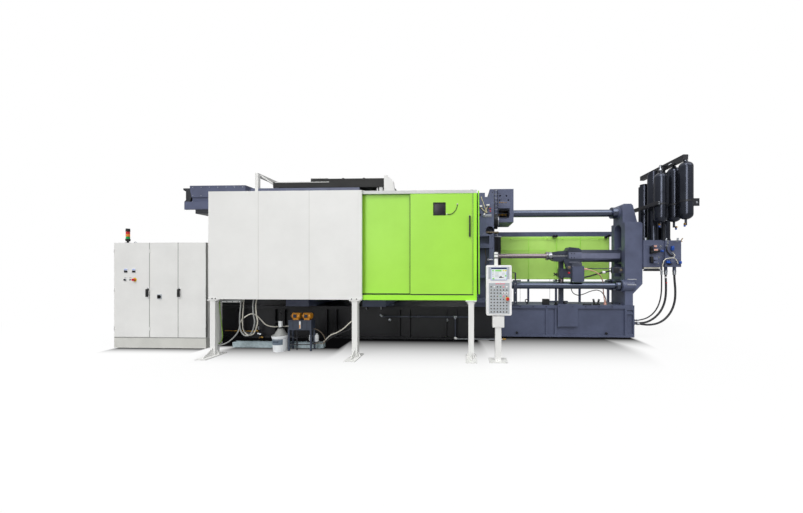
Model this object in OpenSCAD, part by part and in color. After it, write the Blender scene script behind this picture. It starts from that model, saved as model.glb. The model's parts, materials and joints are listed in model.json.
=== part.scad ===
// Cold chamber die casting machine, in millimetres.
// X runs along the machine from the electrical cabinet to the shot end, Y from
// the operator's side to the rear, Z up. The floor is Z = 0.

/* [Clamp unit] */
// Height of the clamp centre line above the floor
clamp_z = 1930; // [1900:10:1950]
// Distance of each tie bar from the clamp centre line, across and up
tie_offset = 720; // [700:10:740]
// Radius of a tie bar
tie_r = 115; // [100:1:120]
// Thickness of each platen
platen_t = 500; // [460:10:500]
// Half width of each platen
platen_half = 1000; // [960:10:1000]
// Stroke of the moving platen
clamp_stroke = 866; // [800:1:866]
// Pivot to pivot length of a toggle link
link_len = 750; // [740:5:750]

/* [Shot end] */
// Height of the shot line above the floor
shot_z = 1917; // [1910:1:1920]
// Radius of the plunger tip
tip_r = 60; // [50:1:65]
// Stroke of the plunger
shot_stroke = 800; // [700:10:800]
// Radius of the shot cylinder
shot_cyl_r = 145; // [140:1:150]
// Radius of the upper guide rod
upper_rod_r = 86; // [80:1:90]
// Radius of the lower guide rods
lower_rod_r = 78; // [70:1:80]

/* [Beds] */
// Height of the bed's top face
bed_z = 766; // [740:1:770]
// Height of the levelling pads
pad_h = 30; // [20:1:40]
// Half width of the bed under the clamp
clamp_bed_half = 660; // [640:5:680]
// Half width of the bed under the shot end
shot_bed_half = 330; // [320:5:340]

/* [Guards] */
// Front plane of the sliding door, as a distance from the centre line
door_y = 1880; // [1870:5:1890]
// Thickness of a door leaf
leaf_t = 40; // [30:1:40]
// Lower edge of the door leaves
door_z0 = 1140; // [1130:5:1150]
// Upper edge of the door leaves
door_z1 = 2988; // [2960:2:2988]
// Travel of the leading door leaf
door_travel = 1850; // [1600:10:1850]

/* [Cabinet] */
// Height of the electrical cabinet
cabinet_h = 2146; // [2100:1:2200]
// Depth of the electrical cabinet
cabinet_d = 400; // [400:10:500]

/* [Control pedestal] */
// Centre of the pedestal along the machine
panel_x = 1722; // [1712:1:1732]
// Centre of the pedestal across the machine
panel_y = -2020; // [-2030:1:-2010]

/* [Hidden] */
running_gap = 0.06;
// clamp unit, along X
fixed_x = 1314;
moving_x = fixed_x - 1000 - clamp_stroke - platen_t;
pivot_reach = 120;
fold = acos(1 - clamp_stroke / (2 * link_len));
moving_pivot_x = moving_x - pivot_reach;
rear_pivot_x = moving_pivot_x - 2 * link_len * cos(fold);
rear_x = rear_pivot_x - 420;
pivot_h = 800;
platen_z1 = 3030;
platen_z0 = 800;
pin_r = 60;
link_half = 110;
front_link_y = [250, 375];
rear_link_y = [385, 490];
short_link_y = [500, 560];
lug_at = [580, -150];
short_len = 360;
cross_pin_h = 300;
cross_x = rear_pivot_x - 240;
short_angle = -14.3;
tie_x0 = rear_x - platen_t - 220;
tie_x1 = fixed_x + platen_t + 60;
// shot end, along X
bracket_x1 = 2257;
tip_x = 1840;
coupling_x = 3099;
cyl_head_x = 3577;
shot_rod_r = 75;
sleeve_r = 100;
cyl_x = 3905;
frame_x = 4824;
frame_x1 = 5222;
frame_half = 315;
edge_x = 1751;
guide_x = 3245;
bed_end = 5031;
bed_split = 1850;
bed_start = -4760;
// oil tank on the rear end of the bed: end and top
tank_end = -2860;
tank_top = 1040;
upper_rod_z = 2950;
lower_rod_z = 1213;
lower_rod_y = 200;
manifold_x1 = 6035;
manifold_z = [1650, 2265];
// nitrogen bottles: x, y, foot, top
bottle_r = 130;
BOTTLES = [[5790, -860, 2650, 3868], [5790, -510, 2650, 3868], [5468, -560, 2634, 3735]];
// piston accumulators standing on the manifold: x, y, top
piston_r = 118;
PISTONS = [[5578, 230, 3690], [5586, -110, 3890], [5830, -130, 3850]];
// guards, along X
guard_x0 = -3608;
SEAMS = [-2665, -1711, -735];
guard_x1 = 1354;
post_top = 1045;
bottom_rail = 1060;
panel_y0 = door_y + 55;
panel_t = 35;
panel_z = [1054, 3050];
leaf_split = 142;
leaf_x1 = 1292;
frame_in = 1780;
POST_X = [-3537, -870, 1252];
roof_x = [-2442, -343];
// cabinet, along X
cab_x0 = -6040;
cab_x1 = -4100;
cab_y = -1450;
CAB_SPLITS = [-6040, -5283, -4682, -4100];
CAB_HINGES = [-6031, -5274, -4109];
plinth_h = 219;
cab_leaf_t = 25;
handle_z = 1190;
cab_stop = [-5597, 1390];
cab_stop_r = 12;
// front face of the pedestal's box, radius of its stem, and its stop button as x and z
panel_front = -2080;
panel_stem_r = 34;
panel_stop = [1877, 1098];
panel_stop_r = 13;
// hoses: radius, and the route's points as x and z in a plane across the machine
HOSE_FRONT = [[5663, 1590], [5663, 1520], [5664, 1440], [5665, 1360], [5665, 1280], [5664, 1200], [5662, 1120],
    [5656, 1040], [5645, 960], [5628, 880], [5604, 800], [5570, 720], [5526, 646], [5472, 580], [5408, 524],
    [5338, 480], [5264, 450], [5188, 432], [5112, 420], [5061, 420]];
HOSE_MIDDLE = [[5790, 1570], [5790, 1490], [5792, 1400], [5795, 1310], [5797, 1220], [5797, 1130], [5794, 1040],
    [5786, 950], [5770, 862], [5745, 776], [5711, 694], [5667, 617], [5613, 547], [5549, 484], [5477, 431],
    [5399, 389], [5316, 362], [5230, 350], [5145, 345], [5061, 345]];
HOSE_REAR = [[5943, 1570], [5943, 1490], [5946, 1400], [5952, 1310], [5960, 1220], [5965, 1130], [5966, 1040],
    [5962, 950], [5950, 860], [5928, 770], [5896, 684], [5854, 602], [5800, 526], [5735, 458], [5660, 402],
    [5576, 360], [5486, 334], [5395, 322], [5300, 322], [5215, 332], [5135, 345], [5061, 345]];
// cable on the sliding door, as x and z
DOOR_CABLE = [[820, 2612], [834, 2606], [850, 2604], [868, 2606], [886, 2611], [904, 2619], [922, 2630],
    [939, 2644], [955, 2661], [969, 2680], [981, 2701], [990, 2723], [997, 2746], [1001, 2768], [1002, 2788]];

// ---- shared shapes ----
module block(lo, hi) { translate(lo) cube(hi - lo); }
module rod_x(x0, x1, y, z, r) { translate([x0, y, z]) rotate([0, 90, 0]) cylinder(h = x1 - x0, r = r, $fn = 64); }
module rod_y(y0, y1, x, z, r) { translate([x, y1, z]) rotate([90, 0, 0]) cylinder(h = y1 - y0, r = r, $fn = 48); }
module rod_z(z0, z1, x, y, r) { translate([x, y, z0]) cylinder(h = z1 - z0, r = r, $fn = 48); }
module both_sides() { children(); mirror([0, 1, 0]) children(); }
module at_tie_bars() {
    for (y = [-1, 1], z = [-1, 1])
        translate([0, y * tie_offset, clamp_z + z * tie_offset]) rotate([0, 90, 0]) children();
}
// an outline drawn in X and Z, given a thickness from y0 to y1
module slab_y(y0, y1) { translate([0, y1, 0]) rotate([90, 0, 0]) linear_extrude(y1 - y0) children(); }
// a folded sheet: front sheet with its four edges returned to the back
module tray(x0, x1, z0, z1, y_front, depth, sheet) {
    difference() {
        block([x0, y_front, z0], [x1, y_front + depth, z1]);
        block([x0 + sheet, y_front + sheet, z0 + sheet], [x1 - sheet, y_front + depth + 1, z1 - sheet]);
    }
}
// a rectangle with round corners, from [0, 0]
module rounded(size, r) {
    translate([r, 0]) square([size[0] - 2 * r, size[1]]);
    translate([0, r]) square([size[0], size[1] - 2 * r]);
    for (x = [r, size[0] - r], z = [r, size[1] - r]) translate([x, z]) circle(r = r, $fn = 48);
}
// a hose swept along points in a plane across Y, with eight or ten sides
function unit2(v) = v / norm(v);
function tangent(p, i) = unit2(p[min(i + 1, len(p) - 1)] - p[max(i - 1, 0)]);
function ring(p, i, y, r, n) = [for (k = [0 : n - 1])
    let (a = 360 * k / n, t = tangent(p, i))
    [p[i][0] - t[1] * r * cos(a), y + r * sin(a), p[i][1] + t[0] * r * cos(a)]];
module hose(p, y, r, n) {
    last = len(p) - 1;
    points = [for (i = [0 : last]) each ring(p, i, y, r, n)];
    sides = [for (i = [0 : last - 1], k = [0 : n - 1])
        let (a = i * n + k, b = i * n + (k + 1) % n) [a, b, b + n, a + n]];
    start = [[for (k = [n - 1 : -1 : 0]) k]];
    end = [[for (k = [0 : n - 1]) last * n + k]];
    polyhedron(points, concat(sides, start, end), convexity = 8);
}

// ---- beds ----
module levelling_pads() {
    color("#2b2d33") {
        for (x = [-4450, -3950, -3000, -2000, -1000, -224, 700, 1740], y = [-560, 560])
            rod_z(0, pad_h, x, y, 70);
        for (x = [2200, 3142, 4000, 4924], y = [-240, 240])
            rod_z(0, pad_h, x, y, 60);
    }
}
module side_rib(x, thick, reach) { both_sides() block([x, -reach, pad_h], [x + thick, 0, bed_z]); }
module clamp_bed() {
    web = clamp_bed_half - 60;
    color("#4c536e") {
        block([bed_start, -web, pad_h], [bed_split, web, bed_z]);
        block([bed_start, -clamp_bed_half, bed_z - 76], [bed_split, clamp_bed_half, bed_z]);
        block([bed_start, -clamp_bed_half, pad_h], [bed_split, clamp_bed_half, pad_h + 40]);
        for (x = [bed_start, -4100, -3220, -3000, -2020, -1800, -354, -124, 700, 930, bed_split - 30])
            side_rib(x, 30, clamp_bed_half - 5);
        // oil tank behind the rear platen
        block([bed_start, 80 - web, bed_z - 76], [tank_end, web - 80, tank_top]);
    }
}
module shot_bed() {
    web = shot_bed_half - 35;
    color("#4c536e") difference() {
        union() {
            block([bed_split, -web, pad_h], [bed_end, web, bed_z]);
            block([bed_split, -shot_bed_half, bed_z - 78], [bed_end, shot_bed_half, bed_z]);
            block([bed_split, -shot_bed_half, pad_h], [bed_end, shot_bed_half, pad_h + 45]);
            for (x = [2000, 3017, 3222]) side_rib(x, 45, shot_bed_half - 5);
            side_rib(4817, 214, shot_bed_half);
            both_sides() block([3283, -shot_bed_half - 20, 274], [3740, -web, 792]);
            // hose ports on the end face
            rod_x(bed_end, bed_end + 30, -290, 420, 22);
            rod_x(bed_end, bed_end + 30, -240, 345, 27);
            rod_x(bed_end, bed_end + 30, -300, 345, 27);
        }
        // recessed shelf in the end leg
        both_sides() block([4862, -shot_bed_half - 1, 600], [5000, -web - 5, 660]);
        both_sides() block([4862, -shot_bed_half - 1, 110], [5000, -web - 5, 560]);
    }
}

// ---- clamp unit ----
module fixed_platen() {
    x1 = fixed_x + platen_t;
    color("#575e78") difference() {
        union() {
            block([fixed_x, -platen_half, bed_z], [x1, platen_half, 3217]);
            // neck behind the flange of the upper rod's bracket
            slab_y(-480, 480) polygon([[edge_x - 110, 3100], [edge_x - 45, 3430], [x1, 3430], [x1, 3100]]);
        }
        // the rear face is stepped back beside the centre, and a groove crosses the top
        both_sides() block([edge_x, -platen_half - 1, bed_z - 1], [x1 + 1, -480, 3218]);
        block([edge_x - 190, -platen_half - 1, 3130], [edge_x - 110, platen_half + 1, 3218]);
        at_tie_bars() cylinder(h = 3 * x1, r = tie_r + running_gap, $fn = 96);
        rod_x(fixed_x - 1, x1 + 1, 0, shot_z, sleeve_r + running_gap);
        // die fixing holes
        for (y = [-400, 400], z = [-400, 400]) rod_x(fixed_x - 1, fixed_x + 90, y, clamp_z + z, 21);
        // cast pockets on the two long edges and the corners relieved below
        both_sides() for (z = [[1000, 1420], [1480, 2050], [2140, 2300]])
            block([fixed_x + 110, -platen_half - 1, z[0]], [edge_x - 100, -platen_half + 110, z[1]]);
        both_sides() {
            block([edge_x - 171, -platen_half - 1, 2390], [edge_x + 1, -platen_half + 200, 2425]);
            rod_y(-platen_half - 1, -platen_half + 200, edge_x - 85, 2425, 85);
        }
        both_sides() block([fixed_x - 1, -platen_half - 1, bed_z - 1], [x1 + 1, -clamp_bed_half - 20, 900]);
    }
}
module rod_bracket() {
    x0 = fixed_x + platen_t;
    color("#575e78") difference() {
        union() {
            block([x0, -420, 2680], [bracket_x1, 420, 3447]);
            block([x0, -480, 2600], [x0 + 60, 480, 3430]);
        }
        rod_x(x0 + 60, bracket_x1 + 1, 0, upper_rod_z, upper_rod_r + running_gap);
        // side windows on the rod's lock nut
        both_sides() slab_y(-421, -40) translate([x0 + 90, 2768]) {
            rounded([266, 200], 80);
            translate([0, 100]) square([266, 134]);
        }
        both_sides() for (p = [[132, 3287], [278, 3287], [125, 3186], [326, 3186]])
            rod_y(-421, -380, x0 + p[0], p[1], 20);
    }
}
module tie_bars() {
    color("#c9ccd2") at_tie_bars() translate([0, 0, tie_x0]) cylinder(h = tie_x1 - tie_x0, r = tie_r, $fn = 96);
}
module tie_bar_nuts() {
    color("#3b3f4c") at_tie_bars() difference() {
        union() {
            translate([0, 0, tie_x0 + 30]) cylinder(h = 190, r = 190, $fn = 64);
            translate([0, 0, edge_x]) cylinder(h = 100, r = 165, $fn = 64);
        }
        translate([0, 0, tie_x0 - 1]) cylinder(h = 3 * tie_x1, r = tie_r + running_gap, $fn = 96);
    }
}
// one pair of pivot lugs with its pin, reaching from x0 to the pivot at x
module pivot_lugs(x0, x, z, bands) {
    for (band = bands) both_sides() {
        lo = min(x0, x);
        block([lo, band[0], z - link_half], [max(x0, x), band[1], z + link_half]);
        rod_y(band[0], band[1], x, z, link_half);
    }
}
module rear_platen() {
    x0 = rear_x - platen_t;
    color("#575e78") difference() {
        union() {
            block([x0, -platen_half, platen_z0], [rear_x, platen_half, platen_z1]);
            block([x0, -clamp_bed_half, bed_z], [rear_x, clamp_bed_half, platen_z0]);
            for (z = [-1, 1]) {
                pivot_lugs(rear_x, rear_pivot_x, clamp_z + z * pivot_h, [[260, 380]]);
                both_sides() rod_y(379, 489, rear_pivot_x, clamp_z + z * pivot_h, pin_r);
            }
        }
        at_tie_bars() translate([0, 0, x0 - 1]) cylinder(h = platen_t + 2, r = tie_r + running_gap, $fn = 96);
        rod_x(x0 - 1, rear_x + 1, 0, clamp_z, 90);
    }
}
module clamp_cylinder() {
    x0 = rear_x - platen_t;
    color("#4a5069") {
        difference() {
            union() {
                rod_x(x0 - 1040, x0 - 60, 0, clamp_z, 210);
                rod_x(x0 - 60, x0, 0, clamp_z, 300);
                rod_x(x0 - 1070, x0 - 1040, 0, clamp_z, 240);
            }
            rod_x(x0 - 1000, x0 + 1, 0, clamp_z, 80 + running_gap);
        }
    }
}
module moving_platen() {
    x1 = moving_x + platen_t;
    color("#575e78") difference() {
        union() {
            block([moving_x, -platen_half, platen_z0], [x1, platen_half, platen_z1]);
            both_sides() block([moving_x - 60, 420, bed_z + 0.5], [x1 + 60, 620, platen_z0]);
            for (z = [-1, 1]) {
                pivot_lugs(moving_x, moving_pivot_x, clamp_z + z * pivot_h, [[385, 480]]);
                both_sides() rod_y(252, 386, moving_pivot_x, clamp_z + z * pivot_h, pin_r);
            }
        }
        at_tie_bars() translate([0, 0, moving_x - 1]) cylinder(h = platen_t + 2, r = tie_r + 0.1, $fn = 96);
        for (y = [-400, 400], z = [-400, 400]) rod_x(x1 - 90, x1 + 1, y, clamp_z + z, 21);
        // ejector rod holes and the ejector pocket in the back
        for (y = [-90, 90], z = [-90, 90]) rod_x(moving_x + 150, x1 + 1, y, clamp_z + z, 26);
        block([moving_x - 1, -190, clamp_z - 190], [moving_x + 200, 190, clamp_z + 190]);
    }
}
module ejector_plate() {
    color("#8d929c") {
        block([moving_x + 10, -170, clamp_z - 170], [moving_x + 60, 170, clamp_z + 170]);
        for (y = [-90, 90], z = [-90, 90])
            rod_x(moving_x + 55, moving_x + platen_t - 20, y, clamp_z + z, 25);
    }
}
module crosshead() {
    color("#6a7088") {
        rod_x(rear_x - platen_t - 960, cross_x, 0, clamp_z, 80);
        block([cross_x - 60, -200, clamp_z - 200], [cross_x + 60, 200, clamp_z + 200]);
        for (z = [-1, 1]) {
            block([cross_x - 45, -496, clamp_z + z * cross_pin_h - 50], [cross_x + 45, 496, clamp_z + z * cross_pin_h + 50]);
            both_sides() rod_y(490, 560, cross_x, clamp_z + z * cross_pin_h, 40);
        }
        block([cross_x - 45, -120, clamp_z - 350], [cross_x + 45, 120, clamp_z + 350]);
    }
}
// a flat link in the X and Z plane from [0, 0] to [len, 0]
module link_outline(len, half) {
    circle(r = half, $fn = 64);
    translate([len, 0]) circle(r = half, $fn = 64);
    translate([0, -half]) square([len, 2 * half]);
}
module link_pair(band, x, z, angle) {
    both_sides() translate([x, 0, z]) rotate([0, -angle, 0]) slab_y(band[0], band[1]) children();
}
module rear_link_shape(side) {
    difference() {
        union() {
            link_outline(link_len, link_half);
            translate([lug_at[0], side * lug_at[1]]) circle(r = 85, $fn = 48);
            translate([lug_at[0] - 85, side * lug_at[1] / 2 - 80]) square([170, 160]);
        }
        circle(r = pin_r + running_gap, $fn = 96);
        translate([link_len, 0]) circle(r = pin_r, $fn = 96);
        translate([lug_at[0], side * lug_at[1]]) circle(r = 40, $fn = 48);
    }
}
module rear_links(side) {
    link_pair(rear_link_y, rear_pivot_x, clamp_z + side * pivot_h, -side * fold) rear_link_shape(side);
}
module front_links(side) {
    link_pair(front_link_y, moving_pivot_x, clamp_z + side * pivot_h, 180 + side * fold) difference() {
        link_outline(link_len, link_half);
        circle(r = pin_r + running_gap, $fn = 96);
        translate([link_len, 0]) circle(r = pin_r, $fn = 96);
    }
}
module short_links(side) {
    link_pair(short_link_y, cross_x, clamp_z + side * cross_pin_h, side * short_angle) difference() {
        link_outline(short_len, 70);
        circle(r = 40 + running_gap, $fn = 96);
        translate([short_len, 0]) circle(r = 40, $fn = 48);
    }
}
module upper_rear_links() { color("#7c8294") rear_links(1); }
module lower_rear_links() { color("#7c8294") rear_links(-1); }
module upper_front_links() { color("#7c8294") front_links(1); }
module lower_front_links() { color("#7c8294") front_links(-1); }
module upper_short_links() { color("#8f94a3") short_links(1); }
module lower_short_links() { color("#8f94a3") short_links(-1); }

// ---- shot end ----
module c_frame() {
    foot_x1 = 5008;
    color("#575e78") difference() {
        union() {
            slab_y(-frame_half, frame_half) polygon([[frame_x, bed_z], [foot_x1, bed_z], [foot_x1, 1030],
                [frame_x1, 1260], [frame_x1, 2650], [frame_x1 - 40, 2690], [frame_x, 2690]]);
            slab_y(-220, 220) polygon([[frame_x, 2680], [frame_x1 - 60, 2680], [5060, 3090], [5020, 3130],
                [frame_x + 30, 3130], [frame_x, 3100]]);
            rod_x(frame_x - 40, frame_x + 1, 0, upper_rod_z, 140);
            both_sides() rod_x(frame_x - 64, frame_x + 206, -lower_rod_y - 40, lower_rod_z, 140);
        }
        // arched window that the shot cylinder passes through
        block([frame_x - 1, -160, 1420], [frame_x1 + 1, 160, 2500]);
        rod_x(frame_x - 1, frame_x1 + 1, 0, 2500, 160);
        rod_x(frame_x - 60, frame_x + 260, 0, upper_rod_z, upper_rod_r + running_gap);
        both_sides() rod_x(frame_x - 65, frame_x + 150, -lower_rod_y, lower_rod_z, lower_rod_r + running_gap);
    }
    // sensor block beside the window
    color("#3d4356") block([frame_x - 254, -245, 1505], [frame_x, -175, 1650]);
    // yoke across the window that holds the cylinder
    color("#4a5069") difference() {
        block([frame_x + 60, -180, shot_z - 200], [frame_x + 240, 180, shot_z + 200]);
        rod_x(frame_x, frame_x1, 0, shot_z, shot_cyl_r + running_gap);
    }
}
module guide_rods() {
    x0 = fixed_x + platen_t;
    color("#262a33") {
        rod_x(x0 + 60, frame_x + 200, 0, upper_rod_z, upper_rod_r);
        rod_x(frame_x - 160, frame_x - 42, 0, upper_rod_z, 135);
        both_sides() {
            rod_x(x0, frame_x + 150, -lower_rod_y, lower_rod_z, lower_rod_r);
            rod_x(frame_x - 184, frame_x - 66, -lower_rod_y, lower_rod_z, 118);
        }
    }
}
module shot_cylinder() {
    bore = shot_rod_r + running_gap;
    color("#3d4356") difference() {
        union() {
            // eight-sided barrel, turned round where the yoke holds it
            translate([cyl_x - 10, 0, shot_z]) rotate([0, 90, 0]) rotate([0, 0, 22.5])
                cylinder(h = frame_x - cyl_x - 10, r = shot_cyl_r / cos(22.5), $fn = 8);
            rod_x(frame_x - 30, frame_x1, 0, shot_z, shot_cyl_r);
            slab_y(-150, 150) polygon([[cyl_head_x, shot_z - 140], [3640, shot_z - 184], [3880, shot_z - 184],
                [cyl_x, shot_z - 155], [cyl_x, shot_z + 132], [3840, shot_z + 183], [3625, shot_z + 205],
                [cyl_head_x, shot_z + 130]]);
            // guide shells over and under the rod
            slab_y(-100, 100) polygon([[guide_x, shot_z + 28], [cyl_head_x + 20, shot_z + 28],
                [cyl_head_x + 20, shot_z + 120], [3420, shot_z + 118], [guide_x, shot_z + 92]]);
            slab_y(-100, 100) polygon([[guide_x, shot_z - 26], [guide_x, shot_z - 110], [3330, shot_z - 135],
                [cyl_head_x + 20, shot_z - 135], [cyl_head_x + 20, shot_z - 26]]);
            // arm, sensor bracket, knob and junction box on the operator's side
            block([3480, -222, shot_z - 132], [3580, -90, shot_z - 92]);
            slab_y(-222, -180) polygon([[3472, shot_z - 92], [3472, shot_z - 140], [3520, 1600], [3649, 1600],
                [3649, 1697], [3580, shot_z - 92]]);
            block([3322, -300, 1399], [3640, -200, 1613]);
            rod_y(-340, -220, 3527, 1643, 30);
            rod_y(-390, -338, 3527, 1643, 58);
            block([3626, -330, 1300], [3895, -200, 1673]);
            block([3640, -240, 1640], [3880, -120, shot_z - 170]);
            rod_x(3890, frame_x - 254, -215, 1613, 10);
            // support leg on the bed
            block([3415, -40, bed_z], [3520, 40, shot_z - 130]);
            block([3360, -120, bed_z], [3580, 120, bed_z + 30]);
        }
        rod_x(cyl_head_x - 1, 4700, 0, shot_z, bore);
        rod_x(guide_x - 1, cyl_head_x, 0, shot_z, bore + 6);
    }
}
module plunger_rod() {
    color("#d8ccd4") {
        rod_x(tip_x, tip_x + 70, 0, shot_z, tip_r);
        rod_x(tip_x + 70, coupling_x, 0, shot_z, 57);
        rod_x(coupling_x, coupling_x + 60, 0, shot_z, 96);
        rod_x(coupling_x + 60, coupling_x + 75, 0, shot_z, shot_rod_r);
        rod_x(coupling_x + 75, coupling_x + 135, 0, shot_z, 96);
        // the piston rod's end stays inside the cylinder head at the full stroke
        rod_x(coupling_x + 135, cyl_head_x + 103 + shot_stroke, 0, shot_z, shot_rod_r);
    }
}
module shot_sleeve() {
    x1 = fixed_x + platen_t;
    color("#9aa0ab") difference() {
        union() {
            rod_x(fixed_x - 40, fixed_x + 1, 0, shot_z, sleeve_r - 2);
            rod_x(fixed_x, x1 + 130, 0, shot_z, sleeve_r);
            rod_x(x1, x1 + 40, 0, shot_z, 150);
        }
        rod_x(fixed_x - 41, x1 + 131, 0, shot_z, tip_r + running_gap);
        block([x1 + 45, -38, shot_z + 40], [x1 + 115, 38, shot_z + 101]);
    }
}
module manifold_block() {
    color("#4a5069") {
        block([frame_x1, -350, manifold_z[0]], [5679, 350, manifold_z[1]]);
        block([5679, -390, manifold_z[0]], [manifold_x1, 350, manifold_z[1] - 10]);
        // struts below and hose fittings
        block([5240, -330, 1600], [5600, -280, manifold_z[0]]);
        rod_z(1590, manifold_z[0], 5663, -290, 24);
        rod_z(1570, manifold_z[0], 5790, -240, 34);
        rod_z(1570, manifold_z[0], 5943, -300, 34);
        // valve bodies on the operator's face
        for (z = [1760, 1840, 2040, 2120]) block([5400, -430, z - 30], [5500, -350, z + 30]);
        rod_y(-470, -390, 5790, 1790, 45);
        rod_y(-440, -390, 5960, 1790, 35);
    }
}
module bottle(x, y, z0, z1) {
    r = bottle_r;
    translate([x, y, 0]) rotate_extrude($fn = 48) polygon(concat(
        [[0, z0 - 120], [22, z0 - 120], [22, z0 - 5]],
        [for (a = [10 : 10 : 90]) [r * sin(a), z0 + 110 - 110 * cos(a)]],
        [for (a = [90 : -10 : 20]) [r * sin(a), z1 - 110 + 110 * cos(a)]],
        [[40, z1 - 4], [40, z1 + 20], [0, z1 + 20]]));
}
module nitrogen_bottles() { color("#2a2d35") for (b = BOTTLES) bottle(b[0], b[1], b[2], b[3]); }
module piston_accumulators() {
    color("#31343d") for (p = PISTONS) {
        rod_z(manifold_z[1], manifold_z[1] + 40, p[0], p[1], piston_r + 8);
        rod_z(manifold_z[1] + 40, p[2] - 60, p[0], p[1], piston_r);
        rod_z(p[2] - 60, p[2], p[0], p[1], 90);
    }
}
module strap(x, y, z) {
    translate([x, y, z]) difference() {
        cylinder(h = 40, r = bottle_r + 8, $fn = 64);
        translate([0, 0, -1]) cylinder(h = 42, r = bottle_r + 0.3, $fn = 64);
    }
}
module bottle_rack() {
    strap_z = 3010;
    color("#23262d") {
        // header bar over the bottles
        block([5710, -900, 3900], [5810, 620, 4010]);
        // two columns off the manifold, with arms to the header bar
        for (y = [-345, 60]) {
            block([5645, y - 28, manifold_z[1]], [5695, y + 28, 3900]);
            block([5645, y - 28, 3900], [5711, y + 28, 3960]);
        }
        // clamp channels and the cross channel
        block([5275, -760, 2990], [5335, 200, 3070]);
        block([5376, -363, 2990], [5926, -327, 3070]);
        block([5926, -900, 2990], [5960, -300, 3070]);
        block([5926, -900, 2930], [6040, -888, 3090]);
        for (b = BOTTLES) {
            strap(b[0], b[1], strap_z);
            rod_z(b[3] + 20, 3900, b[0], b[1], 18);
        }
        block([5450, -578, 3880], [5711, -542, 3900]);
    }
}
module hose_front() { color("#26272c") hose(HOSE_FRONT, -290, 14, 8); }
module hose_middle() { color("#26272c") hose(HOSE_MIDDLE, -240, 22, 10); }
module hose_rear() { color("#26272c") hose(HOSE_REAR, -300, 22, 10); }

// ---- guards ----
module guard_post(x) {
    y = -1950;
    foot = [240, 240];
    translate([x, 0, 0]) {
        difference() {
            block([-100, y - foot[0], 0], [100, y + foot[1], 14]);
            for (dx = [-70, 70], dy = [-205, 205]) rod_z(-1, 15, dx, y + dy, 11);
        }
        block([-50, y + 20, 14], [50, y + 120, post_top - 15]);
        block([-100, y + 10, post_top - 15], [100, y + 165, post_top]);
        // gussets at the foot and under the head plate
        for (s = [-1, 1]) {
            slab_y(y + 66, y + 74) polygon([[s * 50, 14], [s * 95, 14], [s * 50, 110]]);
            slab_y(y + 66, y + 74) polygon([[s * 50, 1030], [s * 95, 1030], [s * 50, 960]]);
        }
        translate([-4, 0, 0]) rotate([90, 0, 90]) linear_extrude(8)
            polygon([[y + 20, 14], [y - 200, 14], [y + 20, 150]]);
    }
}
module guard_posts() { color("#e3e3e1") both_sides() for (x = POST_X) guard_post(x); }
module guard_frame() {
    y0 = panel_y0 - panel_t;
    bottom = [bottom_rail, 1134];
    top = [2992, 3050];
    color("#c9cbcc") {
        both_sides() {
            block([guard_x0, -y0, bottom[0]], [SEAMS[2], -frame_in, bottom[1]]);
            block([guard_x0, -y0, top[0]], [SEAMS[2], -frame_in, top[1]]);
            block([SEAMS[2], -door_y, top[0]], [guard_x1, -frame_in, top[1]]);
            // uprights
            block([guard_x0, -y0, bottom[1]], [guard_x0 + 60, -frame_in, top[0]]);
            for (x = [SEAMS[0], SEAMS[1]]) block([x - 30, -frame_in + 4, bottom[0]], [x + 30, -frame_in + 64, 3052]);
            for (x = [SEAMS[0], SEAMS[1]]) block([x - 30, -frame_in, bottom[0]], [x + 30, -frame_in + 5, bottom[1]]);
            for (x = [SEAMS[0], SEAMS[1]]) block([x - 30, -frame_in, top[0]], [x + 30, -frame_in + 5, top[1]]);
            // head plates over the posts
            for (x = [POST_X[0], POST_X[1]]) block([max(x - 90, guard_x0), -1900, post_top], [x + 90, -frame_in, bottom_rail]);
        }
        // stop that the open door's leading edge meets
        block([leaf_split - door_travel - 24, -1875, 2960], [leaf_split - door_travel - 4, -1845, 2993]);
        // beams across the top and at the cabinet end
        for (x = [guard_x0, SEAMS[2] - 60, 1236]) block([x, -1810, 3050], [x + 60, 1810, 3076]);
        block([guard_x0, -frame_in, bottom_rail], [guard_x0 + 60, frame_in, bottom_rail + 60]);
        // roof deck and its stubs
        for (x = [roof_x[0] + 40, roof_x[1] - 100], y = [-1840, 1780]) block([x, y, 3050], [x + 60, y + 60, 3130]);
    }
    // rail along the top of the guard
    color("#575e78") both_sides() block([-2850, -1878, 3050], [-800, -1848, 3115]);
    color("#3b3e45") {
        block([roof_x[0], -1850, 3130], [roof_x[1], 1850, 3235]);
        for (y = [-1500, 1440]) block([roof_x[0], y, 3235], [roof_x[1], y + 60, 3255]);
    }
    color("#e3e3e1") {
        block([-2766, -door_y, 3050], [-2705, -door_y + 60, 3400]);
        block([-2766, -door_y + 60, 3340], [-2705, 1200, 3400]);
        block([-2766, 1140, 3050], [-2705, 1200, 3340]);
        block([-2766, 1140, 3050], [-2705, 1800, 3070]);
        slab_y(-1880, -1800) polygon([[roof_x[1], 3050], [roof_x[1] + 190, 3050], [roof_x[1] + 166, 3224],
            [roof_x[1] + 60, 3330], [roof_x[1], 3332]]);
    }
}
module guard_panels() {
    color("#e3e3e1") for (i = [0 : 2]) {
        x0 = i == 0 ? guard_x0 : SEAMS[i - 1] + 3;
        tray(x0, SEAMS[i] - 1, panel_z[0], panel_z[1], -panel_y0, panel_t, 6);
    }
    // closing sheet at the cabinet end, open round the clamp cylinder
    color("#d8d8d6") difference() {
        block([guard_x0 - 4, -panel_y0, panel_z[0]], [guard_x0, panel_y0, panel_z[1]]);
        rod_x(guard_x0 - 5, guard_x0 + 1, 0, clamp_z, 270);
    }
}
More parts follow.
